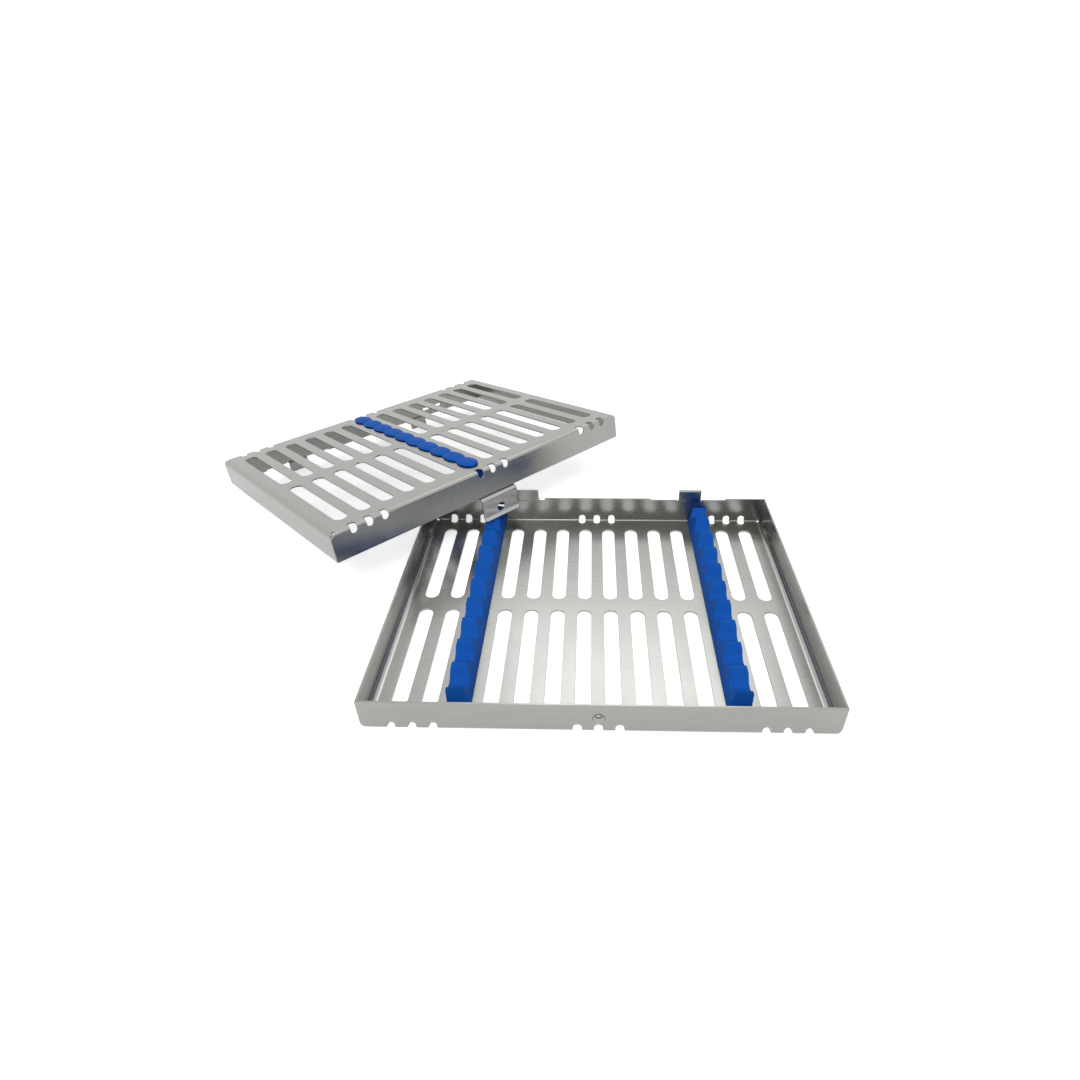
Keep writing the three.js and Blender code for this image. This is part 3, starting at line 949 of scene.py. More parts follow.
class ShapeTree:
    """A geometry nodes tree that makes one moulded part, with a named input for each size.

    Attributes:
        x: the socket that gives each point's own X.
        y: the same for Y.
        z: the same for Z.
    """

    def __init__(self, name: str) -> None:
        """Starts a tree that gives one geometry.

        Args:
            name: of the tree.
        """
        self.tree = bpy.data.node_groups.new(name, "GeometryNodeTree")
        self.tree.interface.new_socket("Geometry", in_out="INPUT", socket_type="NodeSocketGeometry")
        self.tree.interface.new_socket("Geometry", in_out="OUTPUT", socket_type="NodeSocketGeometry")
        self.inputs = self.add("NodeGroupInput")
        self.values: Dict[str, Union[float, List[float]]] = {}
        own_place = self.add("GeometryNodeInputPosition")
        self.x, self.y, self.z = self.add("ShaderNodeSeparateXYZ", {}, {0: own_place}).outputs

    def size(self, label: str, value: Union[float, Sequence[float]]) -> Socket:
        """Adds a named length or place to the tree's inputs.

        Args:
            label: the input's name, which no other input of the tree has.
            value: a length, or a place as its X, Y and Z, in millimetres.

        Returns:
            The socket that gives it, in metres.
        """
        is_length = isinstance(value, (int, float))
        socket = self.tree.interface.new_socket(
            label, in_out="INPUT", socket_type="NodeSocketFloat" if is_length else "NodeSocketVector")
        self.values[socket.identifier] = value * MM if is_length else [part * MM for part in value]
        return self.inputs.outputs[label]

    def add(self, kind: str, settings: Optional[dict] = None,
            inputs: Optional[dict] = None) -> bpy.types.Node:
        """Adds a node to this tree, as add_node does."""
        return add_node(self.tree, kind, settings, inputs)

    def repeat_share(self, along: bpy.types.Node, half_pitch: Socket) -> bpy.types.Node:
        """Measures where each point lies in its own groove or lobe of an even row.

        Args:
            along: gives how far the point lies from the row's first end.
            half_pitch: gives half the distance from one groove or lobe to the next.

        Returns:
            The node that gives 0 where two of them meet and 1 in the middle of each.
        """
        swing = self.add("ShaderNodeMath", {"operation": "PINGPONG"}, {0: along, 1: half_pitch})
        return self.add("ShaderNodeMath", {"operation": "DIVIDE"}, {0: swing, 1: half_pitch})

    def build(self, name: str, parts: Sequence[bpy.types.Node], material: bpy.types.Material,
              place: Matrix) -> bpy.types.Object:
        """Joins the parts, ends the tree and makes a plain mesh of what it gives.

        Args:
            name: of the piece.
            parts: the nodes that give the geometries to join.
            material: set by the tree.
            place: from the part's own frame to the shared frame.

        Returns:
            The finished piece, without the modifier.
        """
        join = self.add("GeometryNodeJoinGeometry")
        for part in reversed(parts):
            self.tree.links.new(part.outputs[0], join.inputs[0])
        real = self.add("GeometryNodeRealizeInstances", {}, {0: join})
        dressed = self.add("GeometryNodeSetMaterial", {}, {"Geometry": real, "Material": material})
        self.add("NodeGroupOutput", {}, {0: dressed})
        obj = link_object(name, bpy.data.meshes.new(name))
        modifier = obj.modifiers.new("shape", "NODES")
        modifier.node_group = self.tree
        for identifier, value in self.values.items():
            modifier[identifier] = value
        finish_mesh(obj, place)
        return obj


@dataclass(frozen=True)
class SweptBar:
    """A four-cornered section with rounded corners, swept along Y. Sizes in millimetres.

    Attributes:
        label: what the bar is called among the tree's inputs.
        corners: X, Z and radius of each corner of the section.
        start: the bar's front end.
        end: its rear end.
        spacing: between the rings of points.
        outline_spacing: between the points of the section.
    """

    label: str
    corners: Sequence[Corner]
    start: float
    end: float
    spacing: float
    outline_spacing: float

    # Pieces on each rounded corner, before the section gets its even spacing.
    CORNER_STEPS: ClassVar[int] = 8

    def build(self, shape: ShapeTree) -> bpy.types.Node:
        """Makes the bar.

        Args:
            shape: the part's tree.

        Returns:
            The node that gives the bar as a closed mesh.
        """
        quad = shape.add("GeometryNodeCurvePrimitiveQuadrilateral", {"mode": "POINTS"})
        index = shape.add("GeometryNodeInputIndex")
        radius = shape.add("GeometryNodeIndexSwitch", {"data_type": "FLOAT"}, {"Index": index})
        while len(radius.index_switch_items) < len(self.corners):
            radius.index_switch_items.new()
        for number, (x, z, round_off) in enumerate(self.corners, 1):
            corner = "%s corner %d" % (self.label, number)
            shape.tree.links.new(shape.size(corner, (x, z, 0.0)), quad.inputs["Point %d" % number])
            shape.tree.links.new(shape.size(corner + " radius", round_off), radius.inputs[number])
        fillet = shape.add("GeometryNodeFilletCurve", {"mode": "POLY"}, {
            "Curve": quad, "Radius": radius, "Count": self.CORNER_STEPS})
        section = shape.add("GeometryNodeResampleCurve", {"mode": "LENGTH"}, {
            "Curve": fillet, "Length": shape.size(self.label + " outline spacing", self.outline_spacing)})
        # The path runs backwards, so that the section's X and Y fall on X and Z.
        path = shape.add("GeometryNodeCurvePrimitiveLine", {}, {
            "Start": shape.size(self.label + " rear end", (0.0, self.end, 0.0)),
            "End": shape.size(self.label + " front end", (0.0, self.start, 0.0))})
        path = shape.add("GeometryNodeResampleCurve", {"mode": "LENGTH"}, {
            "Curve": path, "Length": shape.size(self.label + " ring spacing", self.spacing)})
        up = shape.add("GeometryNodeSetCurveNormal", {"mode": "FREE"}, {
            "Curve": path, "Normal": (1.0, 0.0, 0.0)})
        return shape.add("GeometryNodeCurveToMesh", {}, {
            "Curve": up, "Profile Curve": section, "Fill Caps": True})


@dataclass(frozen=True)
class SlotKeys:
    """The two round-ended keys that hold a silicone part in its slots. Sizes in millimetres.

    Attributes:
        x: the slots' place along the tray.
        low: the keys' lower face.
        high: their upper face.
        width: of a key.
        inner: a key's near end, from the middle.
        outer: its far end.
        round_gap: how far a key's corner radius stays under half its width.
        end_steps: pieces on each of a key's corners.
    """

    x: float
    low: float
    high: float
    width: float = 5.9
    inner: float = 4.2
    outer: float = 61.0
    round_gap: float = 0.02
    end_steps: int = 10

    def build(self, shape: ShapeTree) -> bpy.types.Node:
        """Makes the keys.

        Args:
            shape: the part's tree.

        Returns:
            The node that gives both keys as closed meshes.
        """
        outline = shape.add("GeometryNodeCurvePrimitiveQuadrilateral", {}, {
            "Width": shape.size("Key width", self.width),
            "Height": shape.size("Key length", self.outer - self.inner)})
        fillet = shape.add("GeometryNodeFilletCurve", {"mode": "POLY"}, {
            "Curve": outline, "Count": self.end_steps,
            "Radius": shape.size("Key end radius", self.width / 2 - self.round_gap)})
        plate = shape.add("GeometryNodeFillCurve", {}, {"Curve": fillet})
        body = shape.add("GeometryNodeExtrudeMesh", {}, {
            "Mesh": plate, "Offset Scale": shape.size("Key height", self.high - self.low),
            "Individual": False})
        under = shape.add("GeometryNodeFlipFaces", {}, {0: plate})
        both = shape.add("GeometryNodeJoinGeometry")
        shape.tree.links.new(body.outputs[0], both.inputs[0])
        shape.tree.links.new(under.outputs[0], both.inputs[0])
        key = shape.add("GeometryNodeMergeByDistance", {}, {
            "Geometry": both, "Distance": MERGE_DISTANCE})
        middle = (self.inner + self.outer) / 2
        places = shape.add("GeometryNodeMeshLine", {"mode": "END_POINTS", "count_mode": "TOTAL"}, {
            "Count": 2,
            "Start Location": shape.size("Front key place", (self.x, -middle, self.low)),
            "Offset": shape.size("Rear key place", (self.x, middle, self.low))})
        copies = shape.add("GeometryNodeInstanceOnPoints", {}, {"Points": places, "Instance": key})
        return shape.add("GeometryNodeRealizeInstances", {}, {0: copies})


@dataclass
class InstrumentRack(Part):
    """A silicone bar with rounded grooves for ten instrument handles. Sizes in millimetres.

    Attributes:
        side: of the base that it stands on.
        slot_pitch: of the tray's slot columns.
    """

    SLOT: ClassVar[Slot] = Slot.SILICONE

    side: Side
    slot_pitch: float

    # The section: slot columns from the tray's middle, faces, and the four corners' radii.
    columns_out: float = 4.5
    floor: float = 0.8
    height: float = 10.85
    top_outer: float = 4.6
    top_inner: float = -2.08
    foot_inner: float = -4.75
    foot_inner_round: float = 0.35
    foot_outer_round: float = 0.3
    top_outer_round: float = 1.9
    top_inner_round: float = 1.3

    # The bar's ends, and the low toe in front of the first groove.
    front: float = -60.8
    rear: float = 70.4
    toe_reach: float = 1.2
    toe_low: float = 0.9
    toe_high: float = 2.4

    # The grooves.
    pitch: float = 13.27
    groove_depth: float = 4.8
    flank: float = math.radians(48)
    crest_radius: float = 1.1
    edge_blend: float = 0.35
    flank_steps: int = 12

    # The spacing of the mesh's points, and the keys' lower and upper face.
    spacing: float = 0.36
    outline_spacing: float = 0.33
    key_low: float = 0.1
    key_high: float = 1.5

    def groove_points(self) -> List[Point]:
        """Works out half a groove's height profile, from a crest to the groove's bottom.

        Returns:
            Shares of half the pitch, and of the groove's depth left above the bottom.
        """
        half = self.pitch / 2
        cosine = math.cos(self.flank)
        both = (math.tan(self.flank) * half - self.groove_depth) / (1 / cosine - 1)
        root_radius = both - self.crest_radius
        points = []
        for i in range(self.flank_steps + 1):
            angle = self.flank * i / self.flank_steps
            points.append((self.crest_radius * math.sin(angle) / half,
                           1 - self.crest_radius * (1 - math.cos(angle)) / self.groove_depth))
        for i in range(self.flank_steps, -1, -1):
            angle = self.flank * i / self.flank_steps
            points.append((1 - root_radius * math.sin(angle) / half,
                           root_radius * (1 - math.cos(angle)) / self.groove_depth))
        return points

    def grooved(self, shape: ShapeTree, bar: bpy.types.Node, column: float) -> bpy.types.Node:
        """Lowers the bar's top into the grooves and the toe, and moves it to its slots.

        Args:
            shape: the rack's tree.
            bar: the plain bar.
            column: the slots' place along the tray.

        Returns:
            The node that gives the grooved bar.
        """
        along = shape.add("ShaderNodeMath", {"operation": "SUBTRACT"},
                          {0: shape.y, 1: shape.size("Front", self.front)})
        share = shape.repeat_share(along, shape.size("Half pitch", self.pitch / 2))
        groove = shape.add("ShaderNodeFloatCurve", {}, {"Value": share})
        draw_profile(groove, self.groove_points())
        missing = shape.add("ShaderNodeMath", {"operation": "SUBTRACT"}, {0: 1.0, 1: groove})
        drop = shape.add("ShaderNodeMath", {"operation": "MULTIPLY"},
                         {0: missing, 1: shape.size("Groove depth", self.groove_depth)})
        surface = shape.add("ShaderNodeMath", {"operation": "SUBTRACT"},
                            {0: shape.size("Top", self.height), 1: drop})
        toe = shape.add("ShaderNodeMapRange", {"interpolation_type": "SMOOTHSTEP"}, {
            "Value": along, "From Min": shape.size("Toe reach", -self.toe_reach), "From Max": 0.0,
            "To Min": shape.size("Toe tip height", self.floor + self.toe_low),
            "To Max": shape.size("Toe root height", self.floor + self.toe_high)})
        ahead = shape.add("ShaderNodeMath", {"operation": "LESS_THAN"}, {0: along, 1: 0.0})
        limit = shape.add("ShaderNodeMix", {"data_type": "FLOAT"}, {0: ahead, 2: surface, 3: toe})
        height = shape.add("ShaderNodeMath", {"operation": "SMOOTH_MIN"},
                           {0: shape.z, 1: limit, 2: shape.size("Edge blend", self.edge_blend)})
        held = shape.add("ShaderNodeMath", {"operation": "MAXIMUM"},
                         {0: height, 1: shape.size("Floor", self.floor)})
        across = shape.add("ShaderNodeMath", {"operation": "MULTIPLY_ADD"}, {
            0: shape.x, 1: float(self.side.value), 2: shape.size("Slot column", column)})
        moved = shape.add("ShaderNodeCombineXYZ", {}, {0: across, 1: shape.y, 2: held})
        return shape.add("GeometryNodeSetPosition", {}, {"Geometry": bar, "Position": moved})

    def build(self, name: str, material: bpy.types.Material) -> bpy.types.Object:
        """Builds the rack on the base's floor.

        Args:
            name: of the piece.
            material: the silicone.

        Returns:
            The finished piece.
        """
        shape = ShapeTree("moulded_rack")
        column = self.side.value * self.columns_out * self.slot_pitch
        bar = SweptBar(
            "Bar",
            [(self.foot_inner, self.floor, self.foot_inner_round),
             (self.top_outer, self.floor, self.foot_outer_round),
             (self.top_outer, self.height, self.top_outer_round),
             (self.top_inner, self.height, self.top_inner_round)],
            self.front - self.toe_reach, self.rear, self.spacing, self.outline_spacing)
        keys = SlotKeys(column, self.key_low, self.key_high)
        parts = [self.grooved(shape, bar.build(shape), column), keys.build(shape)]
        return shape.build(name, parts, material, Matrix.Identity(4))


@dataclass
class GripStrip(Part):
    """The lobed silicone strip on the lid, with keys through the slots and a pad inside.

    Sizes in millimetres, in the upturned tray's frame, where the pad points up.

    Attributes:
        slot_pitch: of the tray's slot columns.
    """

    SLOT: ClassVar[Slot] = Slot.SILICONE

    slot_pitch: float

    # The row of lobes: slot columns from the tray's middle, lobes, necks and ends.
    columns_out: float = 0.5
    lobe_count: int = 10
    lobe_pitch: float = 13.0
    lobe_width: float = 9.4
    neck_width: float = 5.9
    end_run: float = 6.5
    rear_shift: float = 1.0

    # The head's section: gap to the sheet, edge, crown, the crown's share at a neck, edges' radii.
    seat: float = 0.2
    edge: float = 0.7
    crown: float = 0.65
    crease_share: float = 0.1
    outer_round: float = 0.3
    seat_round: float = 0.15

    # The pad inside, a bar that narrows to a ridge.
    pad_root: float = 7.2
    pad_flank: float = 6.8
    pad_flank_height: float = 4.0
    pad_tip: float = 2.0
    pad_tip_rise: float = 0.6
    pad_low: float = 1.0
    pad_height: float = 6.4
    pad_front: float = -66.0
    pad_rear: float = 61.3
    pad_root_round: float = 0.3
    pad_tip_round: float = 0.05

    # How far the keys run into the head and into the pad.
    key_head_overlap: float = 0.3
    key_pad_overlap: float = 0.6

    # The spacing of the mesh's points on the head and on the pad.
    spacing: float = 0.36
    outline_spacing: float = 0.4
    pad_spacing: float = 2.0
    pad_outline_spacing: float = 0.25

    # Points on each drawn arc of the profiles.
    CURVE_STEPS: ClassVar[int] = 10
    # The ends' first points, where half an ellipse is too steep for even steps.
    END_SHARES: ClassVar[Tuple[Point, ...]] = ((0.0, 0.04), (0.01, 0.14), (0.03, 0.24))
    # The pad's half width on its rounded ridge, as shares of the ridge's own.
    RIDGE_SHARES: ClassVar[Pair] = (0.8, 0.3)

    def lobe_points(self) -> List[Point]:
        """Works out a lobe's half width from a neck to its middle: part of an ellipse.

        Returns:
            Shares of half the pitch and of half the lobe's width.
        """
        neck = self.neck_width / self.lobe_width
        points = []
        for i in range(self.CURVE_STEPS + 1):
            share = i / self.CURVE_STEPS
            points.append((share, math.sqrt(1 - (1 - neck * neck) * (1 - share) ** 2)))
        return points

    def crest_points(self) -> List[Point]:
        """Works out a lobe's crown from a neck to its middle: a dome with a crease at the neck.

        Returns:
            Shares of half the pitch and of the crown.
        """
        points = []
        for i in range(self.CURVE_STEPS + 1):
            share = i / self.CURVE_STEPS
            dome = math.sqrt(1 - (1 - share) ** 2)
            points.append((share, self.crease_share + (1 - self.crease_share) * dome))
        return points

    def end_points(self) -> List[Point]:
        """Works out the strip's half width over the run of its ends: half an ellipse.

        Returns:
            Shares of the run and of half the lobe's width.
        """
        points = list(self.END_SHARES)
        for i in range(1, self.CURVE_STEPS + 1):
            share = i / self.CURVE_STEPS
            points.append((share, math.sqrt(1 - (1 - share) ** 2)))
        return points

    def ridge_points(self) -> List[Point]:
        """Works out the pad's half width over its height.

        Returns:
            Shares of the height and of half the root's width.
        """
        turn = self.pad_flank_height / self.pad_height
        shoulder = 1 - self.pad_tip_rise / self.pad_height
        tip = self.pad_tip / self.pad_root
        middle, top = self.RIDGE_SHARES
        return [(0.0, 1.0), (turn, self.pad_flank / self.pad_root), (shoulder, tip),
                ((shoulder + 1) / 2, tip * middle), (1.0, tip * top)]

    def head(self, shape: ShapeTree, column: Socket) -> bpy.types.Node:
        """Makes the strip outside, a flat bar whose width and crown follow the row of lobes.

        Args:
            shape: the strip's tree.
            column: gives the slots' place along the tray.

        Returns:
            The node that gives the head as a closed mesh.
        """
        half = self.lobe_width / 2
        reach = self.lobe_count * self.lobe_pitch / 2
        start = self.rear_shift - reach
        end = self.rear_shift + reach
        low = -self.seat - self.edge
        bar = SweptBar(
            "Head",
            [(-half, low, self.outer_round), (half, low, self.outer_round),
             (half, -self.seat, self.seat_round), (-half, -self.seat, self.seat_round)],
            start, end, self.spacing, self.outline_spacing).build(shape)
        along = shape.add("ShaderNodeMath", {"operation": "SUBTRACT"},
                          {0: shape.y, 1: shape.size("Start", start)})
        share = shape.repeat_share(along, shape.size("Half lobe pitch", self.lobe_pitch / 2))
        lobe = shape.add("ShaderNodeFloatCurve", {}, {"Value": share})
        draw_profile(lobe, self.lobe_points())
        from_middle = shape.add("ShaderNodeMath", {"operation": "SUBTRACT"},
                                {0: shape.y, 1: shape.size("Rear shift", self.rear_shift)})
        distance = shape.add("ShaderNodeMath", {"operation": "ABSOLUTE"}, {0: from_middle})
        near_end = shape.add("ShaderNodeMapRange", {}, {
            "Value": distance, "From Min": shape.size("Half length", end - self.rear_shift),
            "From Max": shape.size("Straight half", end - self.rear_shift - self.end_run)})
        taper = shape.add("ShaderNodeFloatCurve", {}, {"Value": near_end})
        draw_profile(taper, self.end_points())
        width = shape.add("ShaderNodeMath", {"operation": "MINIMUM"}, {0: lobe, 1: taper})
        across = shape.add("ShaderNodeMath", {"operation": "MULTIPLY"}, {0: shape.x, 1: width})
        shifted = shape.add("ShaderNodeMath", {"operation": "ADD"}, {0: across, 1: column})
        height = shape.add("ShaderNodeMath", {"operation": "SUBTRACT"},
                           {0: shape.z, 1: self.dome(shape, share)})
        moved = shape.add("ShaderNodeCombineXYZ", {}, {0: shifted, 1: shape.y, 2: height})
        return shape.add("GeometryNodeSetPosition", {}, {"Geometry": bar, "Position": moved})

    def dome(self, shape: ShapeTree, share: bpy.types.Node) -> bpy.types.Node:
        """Works out how far the head's outer side stands out: lobes round both ways.

        Args:
            shape: the strip's tree.
            share: gives 0 at a neck and 1 at a lobe's middle.

        Returns:
            The node that gives the rise of each point, which is zero on the seat's side.
        """
        ratio = shape.add("ShaderNodeMath", {"operation": "DIVIDE"},
                          {0: shape.x, 1: shape.size("Half lobe width", self.lobe_width / 2)})
        square = shape.add("ShaderNodeMath", {"operation": "POWER"}, {0: ratio, 1: 2.0})
        round_over = shape.add("ShaderNodeMath", {"operation": "SUBTRACT"}, {0: 1.0, 1: square})
        crest = shape.add("ShaderNodeFloatCurve", {}, {"Value": share})
        draw_profile(crest, self.crest_points())
        rise = shape.add("ShaderNodeMath", {"operation": "MULTIPLY"}, {0: round_over, 1: crest})
        swell = shape.add("ShaderNodeMath", {"operation": "MULTIPLY"},
                          {0: rise, 1: shape.size("Crown", self.crown)})
        outer_side = shape.add("ShaderNodeMath", {"operation": "LESS_THAN"}, {
            0: shape.z, 1: shape.size("Edge middle", -self.seat - self.edge / 2)})
        return shape.add("ShaderNodeMath", {"operation": "MULTIPLY"}, {0: swell, 1: outer_side})

    def pad(self, shape: ShapeTree, column: Socket) -> bpy.types.Node:
        """Makes the bar inside, which a drawn profile narrows to a round ridge.

        Args:
            shape: the strip's tree.
            column: gives the slots' place along the tray.

        Returns:
            The node that gives the pad as a closed mesh.
        """
        half = self.pad_root / 2
        top = self.pad_low + self.pad_height
        bar = SweptBar(
            "Pad",
            [(-half, self.pad_low, self.pad_root_round), (half, self.pad_low, self.pad_root_round),
             (half, top, self.pad_tip_round), (-half, top, self.pad_tip_round)],
            self.pad_front, self.pad_rear, self.pad_spacing, self.pad_outline_spacing).build(shape)
        share = shape.add("ShaderNodeMapRange", {}, {
            "Value": shape.z, "From Min": shape.size("Pad root", self.pad_low),
            "From Max": shape.size("Pad top", top)})
        profile = shape.add("ShaderNodeFloatCurve", {}, {"Value": share})
        draw_profile(profile, self.ridge_points())
        narrowed = shape.add("ShaderNodeMath", {"operation": "MULTIPLY_ADD"},
                             {0: shape.x, 1: profile, 2: column})
        moved = shape.add("ShaderNodeCombineXYZ", {}, {0: narrowed, 1: shape.y, 2: shape.z})
        return shape.add("GeometryNodeSetPosition", {}, {"Geometry": bar, "Position": moved})

    def build(self, name: str, material: bpy.types.Material, place: Matrix) -> bpy.types.Object:
        """Builds the strip in the upturned tray's frame and puts it in the lid's place.

        Args:
            name: of the piece.
            material: the silicone.
            place: from the tray's frame to the shared frame.

        Returns:
            The finished piece.
        """
        shape = ShapeTree("moulded_grip_strip")
        column_x = self.columns_out * self.slot_pitch
        column = shape.size("Slot column", column_x)
        keys = SlotKeys(column_x, -self.seat - self.key_head_overlap,
                        self.pad_low + self.key_pad_overlap)
        parts = [self.head(shape, column), keys.build(shape), self.pad(shape, column)]
        return shape.build(name, parts, material, place)


@dataclass(frozen=True)
class SatinSheet:
    """Rolled stainless sheet with a satin finish: fine streaks one way, soft reflections.

    The real streaks are too fine to show in the render, so they are drawn as coarse as they need
    to be to show at all.

    Attributes:
        name: of the material.
        base: the steel's colour.
        dark: its colour in the streaks.
        roughness: its middle value.
        streak: how far the streaks change the roughness.
        grain_mm: the width of a streak.
        stretch: how many times longer than wide a streak is.
        smudge_mm: the size of the faint clouds that wiping leaves.
        bump: strength of the streaks' relief.
        smudge: how far the clouds change the roughness.
        relief_mm: depth of the streaks.
        tone_span: the part of the streaks' noise that goes from dark to base.
        streak_span: the part of it that goes over the whole change of roughness.
        smudge_span: the same for the clouds' noise.
    """

    name: str
    base: str
    dark: str
    roughness: float
    streak: float
    grain_mm: float
    stretch: float
    smudge_mm: float
    bump: float
    smudge: float = 0.035
    relief_mm: float = 0.02
    tone_span: Pair = (0.3, 0.62)
    streak_span: Pair = (0.25, 0.75)
    smudge_span: Pair = (0.3, 0.7)

    def build(self, turn: Sequence[float] = (0.0, 0.0, 0.0)) -> bpy.types.Material:
        """Makes the material.

        Args:
            turn: rotation of the part that wears it, so that the grain follows the sheet.

        Returns:
            The material.
        """
        material = bpy.data.materials.new(self.name)
        material.use_nodes = True
        tree = material.node_tree
        shader = tree.nodes["Principled BSDF"]
        where = add_node(tree, "ShaderNodeTexCoord")
        local = add_node(tree, "ShaderNodeMapping", {"vector_type": "TEXTURE"},
                         {"Vector": where.outputs["Object"], "Rotation": tuple(turn)})
        # The rolling direction is the long side, so the streaks are long in X and thin across.
        thin = 1 / (self.grain_mm * MM)
        streaks = add_node(tree, "ShaderNodeMapping", {}, {
            "Vector": local, "Scale": (thin / self.stretch, thin, thin)})
        grain = add_node(tree, "ShaderNodeTexNoise", {}, {
            "Vector": streaks, "Scale": 1.0, "Detail": 3.0, "Roughness": 0.6})
        clouds = add_node(tree, "ShaderNodeTexNoise", {}, {
            "Vector": local, "Scale": 1 / (self.smudge_mm * MM), "Detail": 4.0, "Roughness": 0.55})
        tone = add_node(tree, "ShaderNodeMapRange", {}, {
            "Value": grain, "From Min": self.tone_span[0], "From Max": self.tone_span[1]})
        colour = add_node(tree, "ShaderNodeMix", {"data_type": "RGBA"}, {
            0: tone, 6: linear_colour(self.dark), 7: linear_colour(self.base)})
        tree.links.new(colour.outputs[2], shader.inputs["Base Color"])
        shader.inputs["Metallic"].default_value = 1.0
        fine = add_node(tree, "ShaderNodeMapRange", {}, {
            "Value": grain, "From Min": self.streak_span[0], "From Max": self.streak_span[1],
            "To Min": self.roughness - self.streak, "To Max": self.roughness + self.streak})
        cloudy = add_node(tree, "ShaderNodeMapRange", {}, {
            "Value": clouds, "From Min": self.smudge_span[0], "From Max": self.smudge_span[1],
            "To Min": -self.smudge, "To Max": self.smudge})
        rough = add_node(tree, "ShaderNodeMath", {"operation": "ADD"}, {0: fine, 1: cloudy})
        tree.links.new(rough.outputs[0], shader.inputs["Roughness"])
        relief = add_node(tree, "ShaderNodeBump", {}, {
            "Height": grain, "Strength": self.bump, "Distance": self.relief_mm * MM})
        tree.links.new(relief.outputs[0], shader.inputs["Normal"])
        return material


@dataclass(frozen=True)
class MouldedSilicone:
    """Autoclavable silicone rubber from a blasted mould: matt, even, with a soft highlight.

    The mould's real texture is too fine to show in the render, so it is drawn as coarse as it
    needs to be to show at all.

    Attributes:
        name: of the material.
        base: the silicone's colour.
        worn: its colour where handling has changed it.
        roughness: its middle value.
        texture_mm: the size of the mould's grains.
        cloud_mm: the size of the changes of colour.
        bump: strength of the texture's relief.
        sheen_level: how strongly it mirrors, as the shader's specular level.
        smoother: how far the roughness goes below its middle value.
        rougher: how far it goes above it.
        relief_mm: depth of the texture.
        worn_span: the part of the clouds' noise that goes from base to worn.
        texture_span: the part of the texture's noise that changes the roughness.
    """

    name: str
    base: str
    worn: str
    roughness: float
    texture_mm: float
    cloud_mm: float
    bump: float
    sheen_level: float
    smoother: float = 0.05
    rougher: float = 0.07
    relief_mm: float = 0.03
    worn_span: Pair = (0.35, 0.7)
    texture_span: Pair = (0.3, 0.7)

    def build(self) -> bpy.types.Material:
        """Makes the material.

        Returns:
            The material.
        """
        material = bpy.data.materials.new(self.name)
        material.use_nodes = True
        tree = material.node_tree
        shader = tree.nodes["Principled BSDF"]
        shader.inputs["Specular IOR Level"].default_value = self.sheen_level
        where = add_node(tree, "ShaderNodeTexCoord").outputs["Object"]
        fine = add_node(tree, "ShaderNodeTexNoise", {}, {
            "Vector": where, "Scale": 1 / (self.texture_mm * MM), "Detail": 2.0})
        cloud = add_node(tree, "ShaderNodeTexNoise", {}, {
            "Vector": where, "Scale": 1 / (self.cloud_mm * MM), "Detail": 3.0})
        amount = add_node(tree, "ShaderNodeMapRange", {}, {
            "Value": cloud, "From Min": self.worn_span[0], "From Max": self.worn_span[1]})
        colour = add_node(tree, "ShaderNodeMix", {"data_type": "RGBA"}, {
            0: amount, 6: linear_colour(self.base), 7: linear_colour(self.worn)})
        tree.links.new(colour.outputs[2], shader.inputs["Base Color"])
        rough = add_node(tree, "ShaderNodeMapRange", {}, {
            "Value": fine, "From Min": self.texture_span[0], "From Max": self.texture_span[1],
            "To Min": self.roughness - self.smoother, "To Max": self.roughness + self.rougher})
        tree.links.new(rough.outputs[0], shader.inputs["Roughness"])
        relief = add_node(tree, "ShaderNodeBump", {}, {
            "Height": fine, "Strength": self.bump, "Distance": self.relief_mm * MM})
        tree.links.new(relief.outputs[0], shader.inputs["Normal"])
        return material


@dataclass(frozen=True)
class LidStand:
    """How the lid stands beside the base, with the tips of its rear tabs on the table.

    Attributes:
        yaw: its turn to the left, in degrees.
        tilt: how far its front is raised, in degrees.
        place: of the middle of its rim, in millimetres.
    """

    yaw: float = 44.65
    tilt: float = 7.3883
    place: Place = (-102.0869, 113.0179, 14.8714)

    def turn(self) -> Turn:
        """Gives the lid's rotation as a material takes it, in radians."""
        return (-math.radians(self.tilt), 0.0, math.radians(self.yaw))

    def lid_frame(self) -> Matrix:
        """Gives the way from the lid's own frame, with its rim at height zero, to the shared frame.

        Returns:
            The matrix, in metres.
        """
        return (Matrix.Translation(Vector(self.place) * MM)
                @ Matrix.Rotation(math.radians(self.yaw), 4, "Z")
                @ Matrix.Rotation(-math.radians(self.tilt), 4, "X"))

    def tray_frame(self, height: float) -> Matrix:
        """Gives the way from the frame of a tray that is turned over to the shared frame.

        Args:
            height: of the tray, in millimetres.

        Returns:
            The matrix, in metres.
        """
        turned_over = Matrix.Translation((0, 0, height * MM)) @ Matrix.Rotation(math.pi, 4, "Y")
        return self.lid_frame() @ turned_over


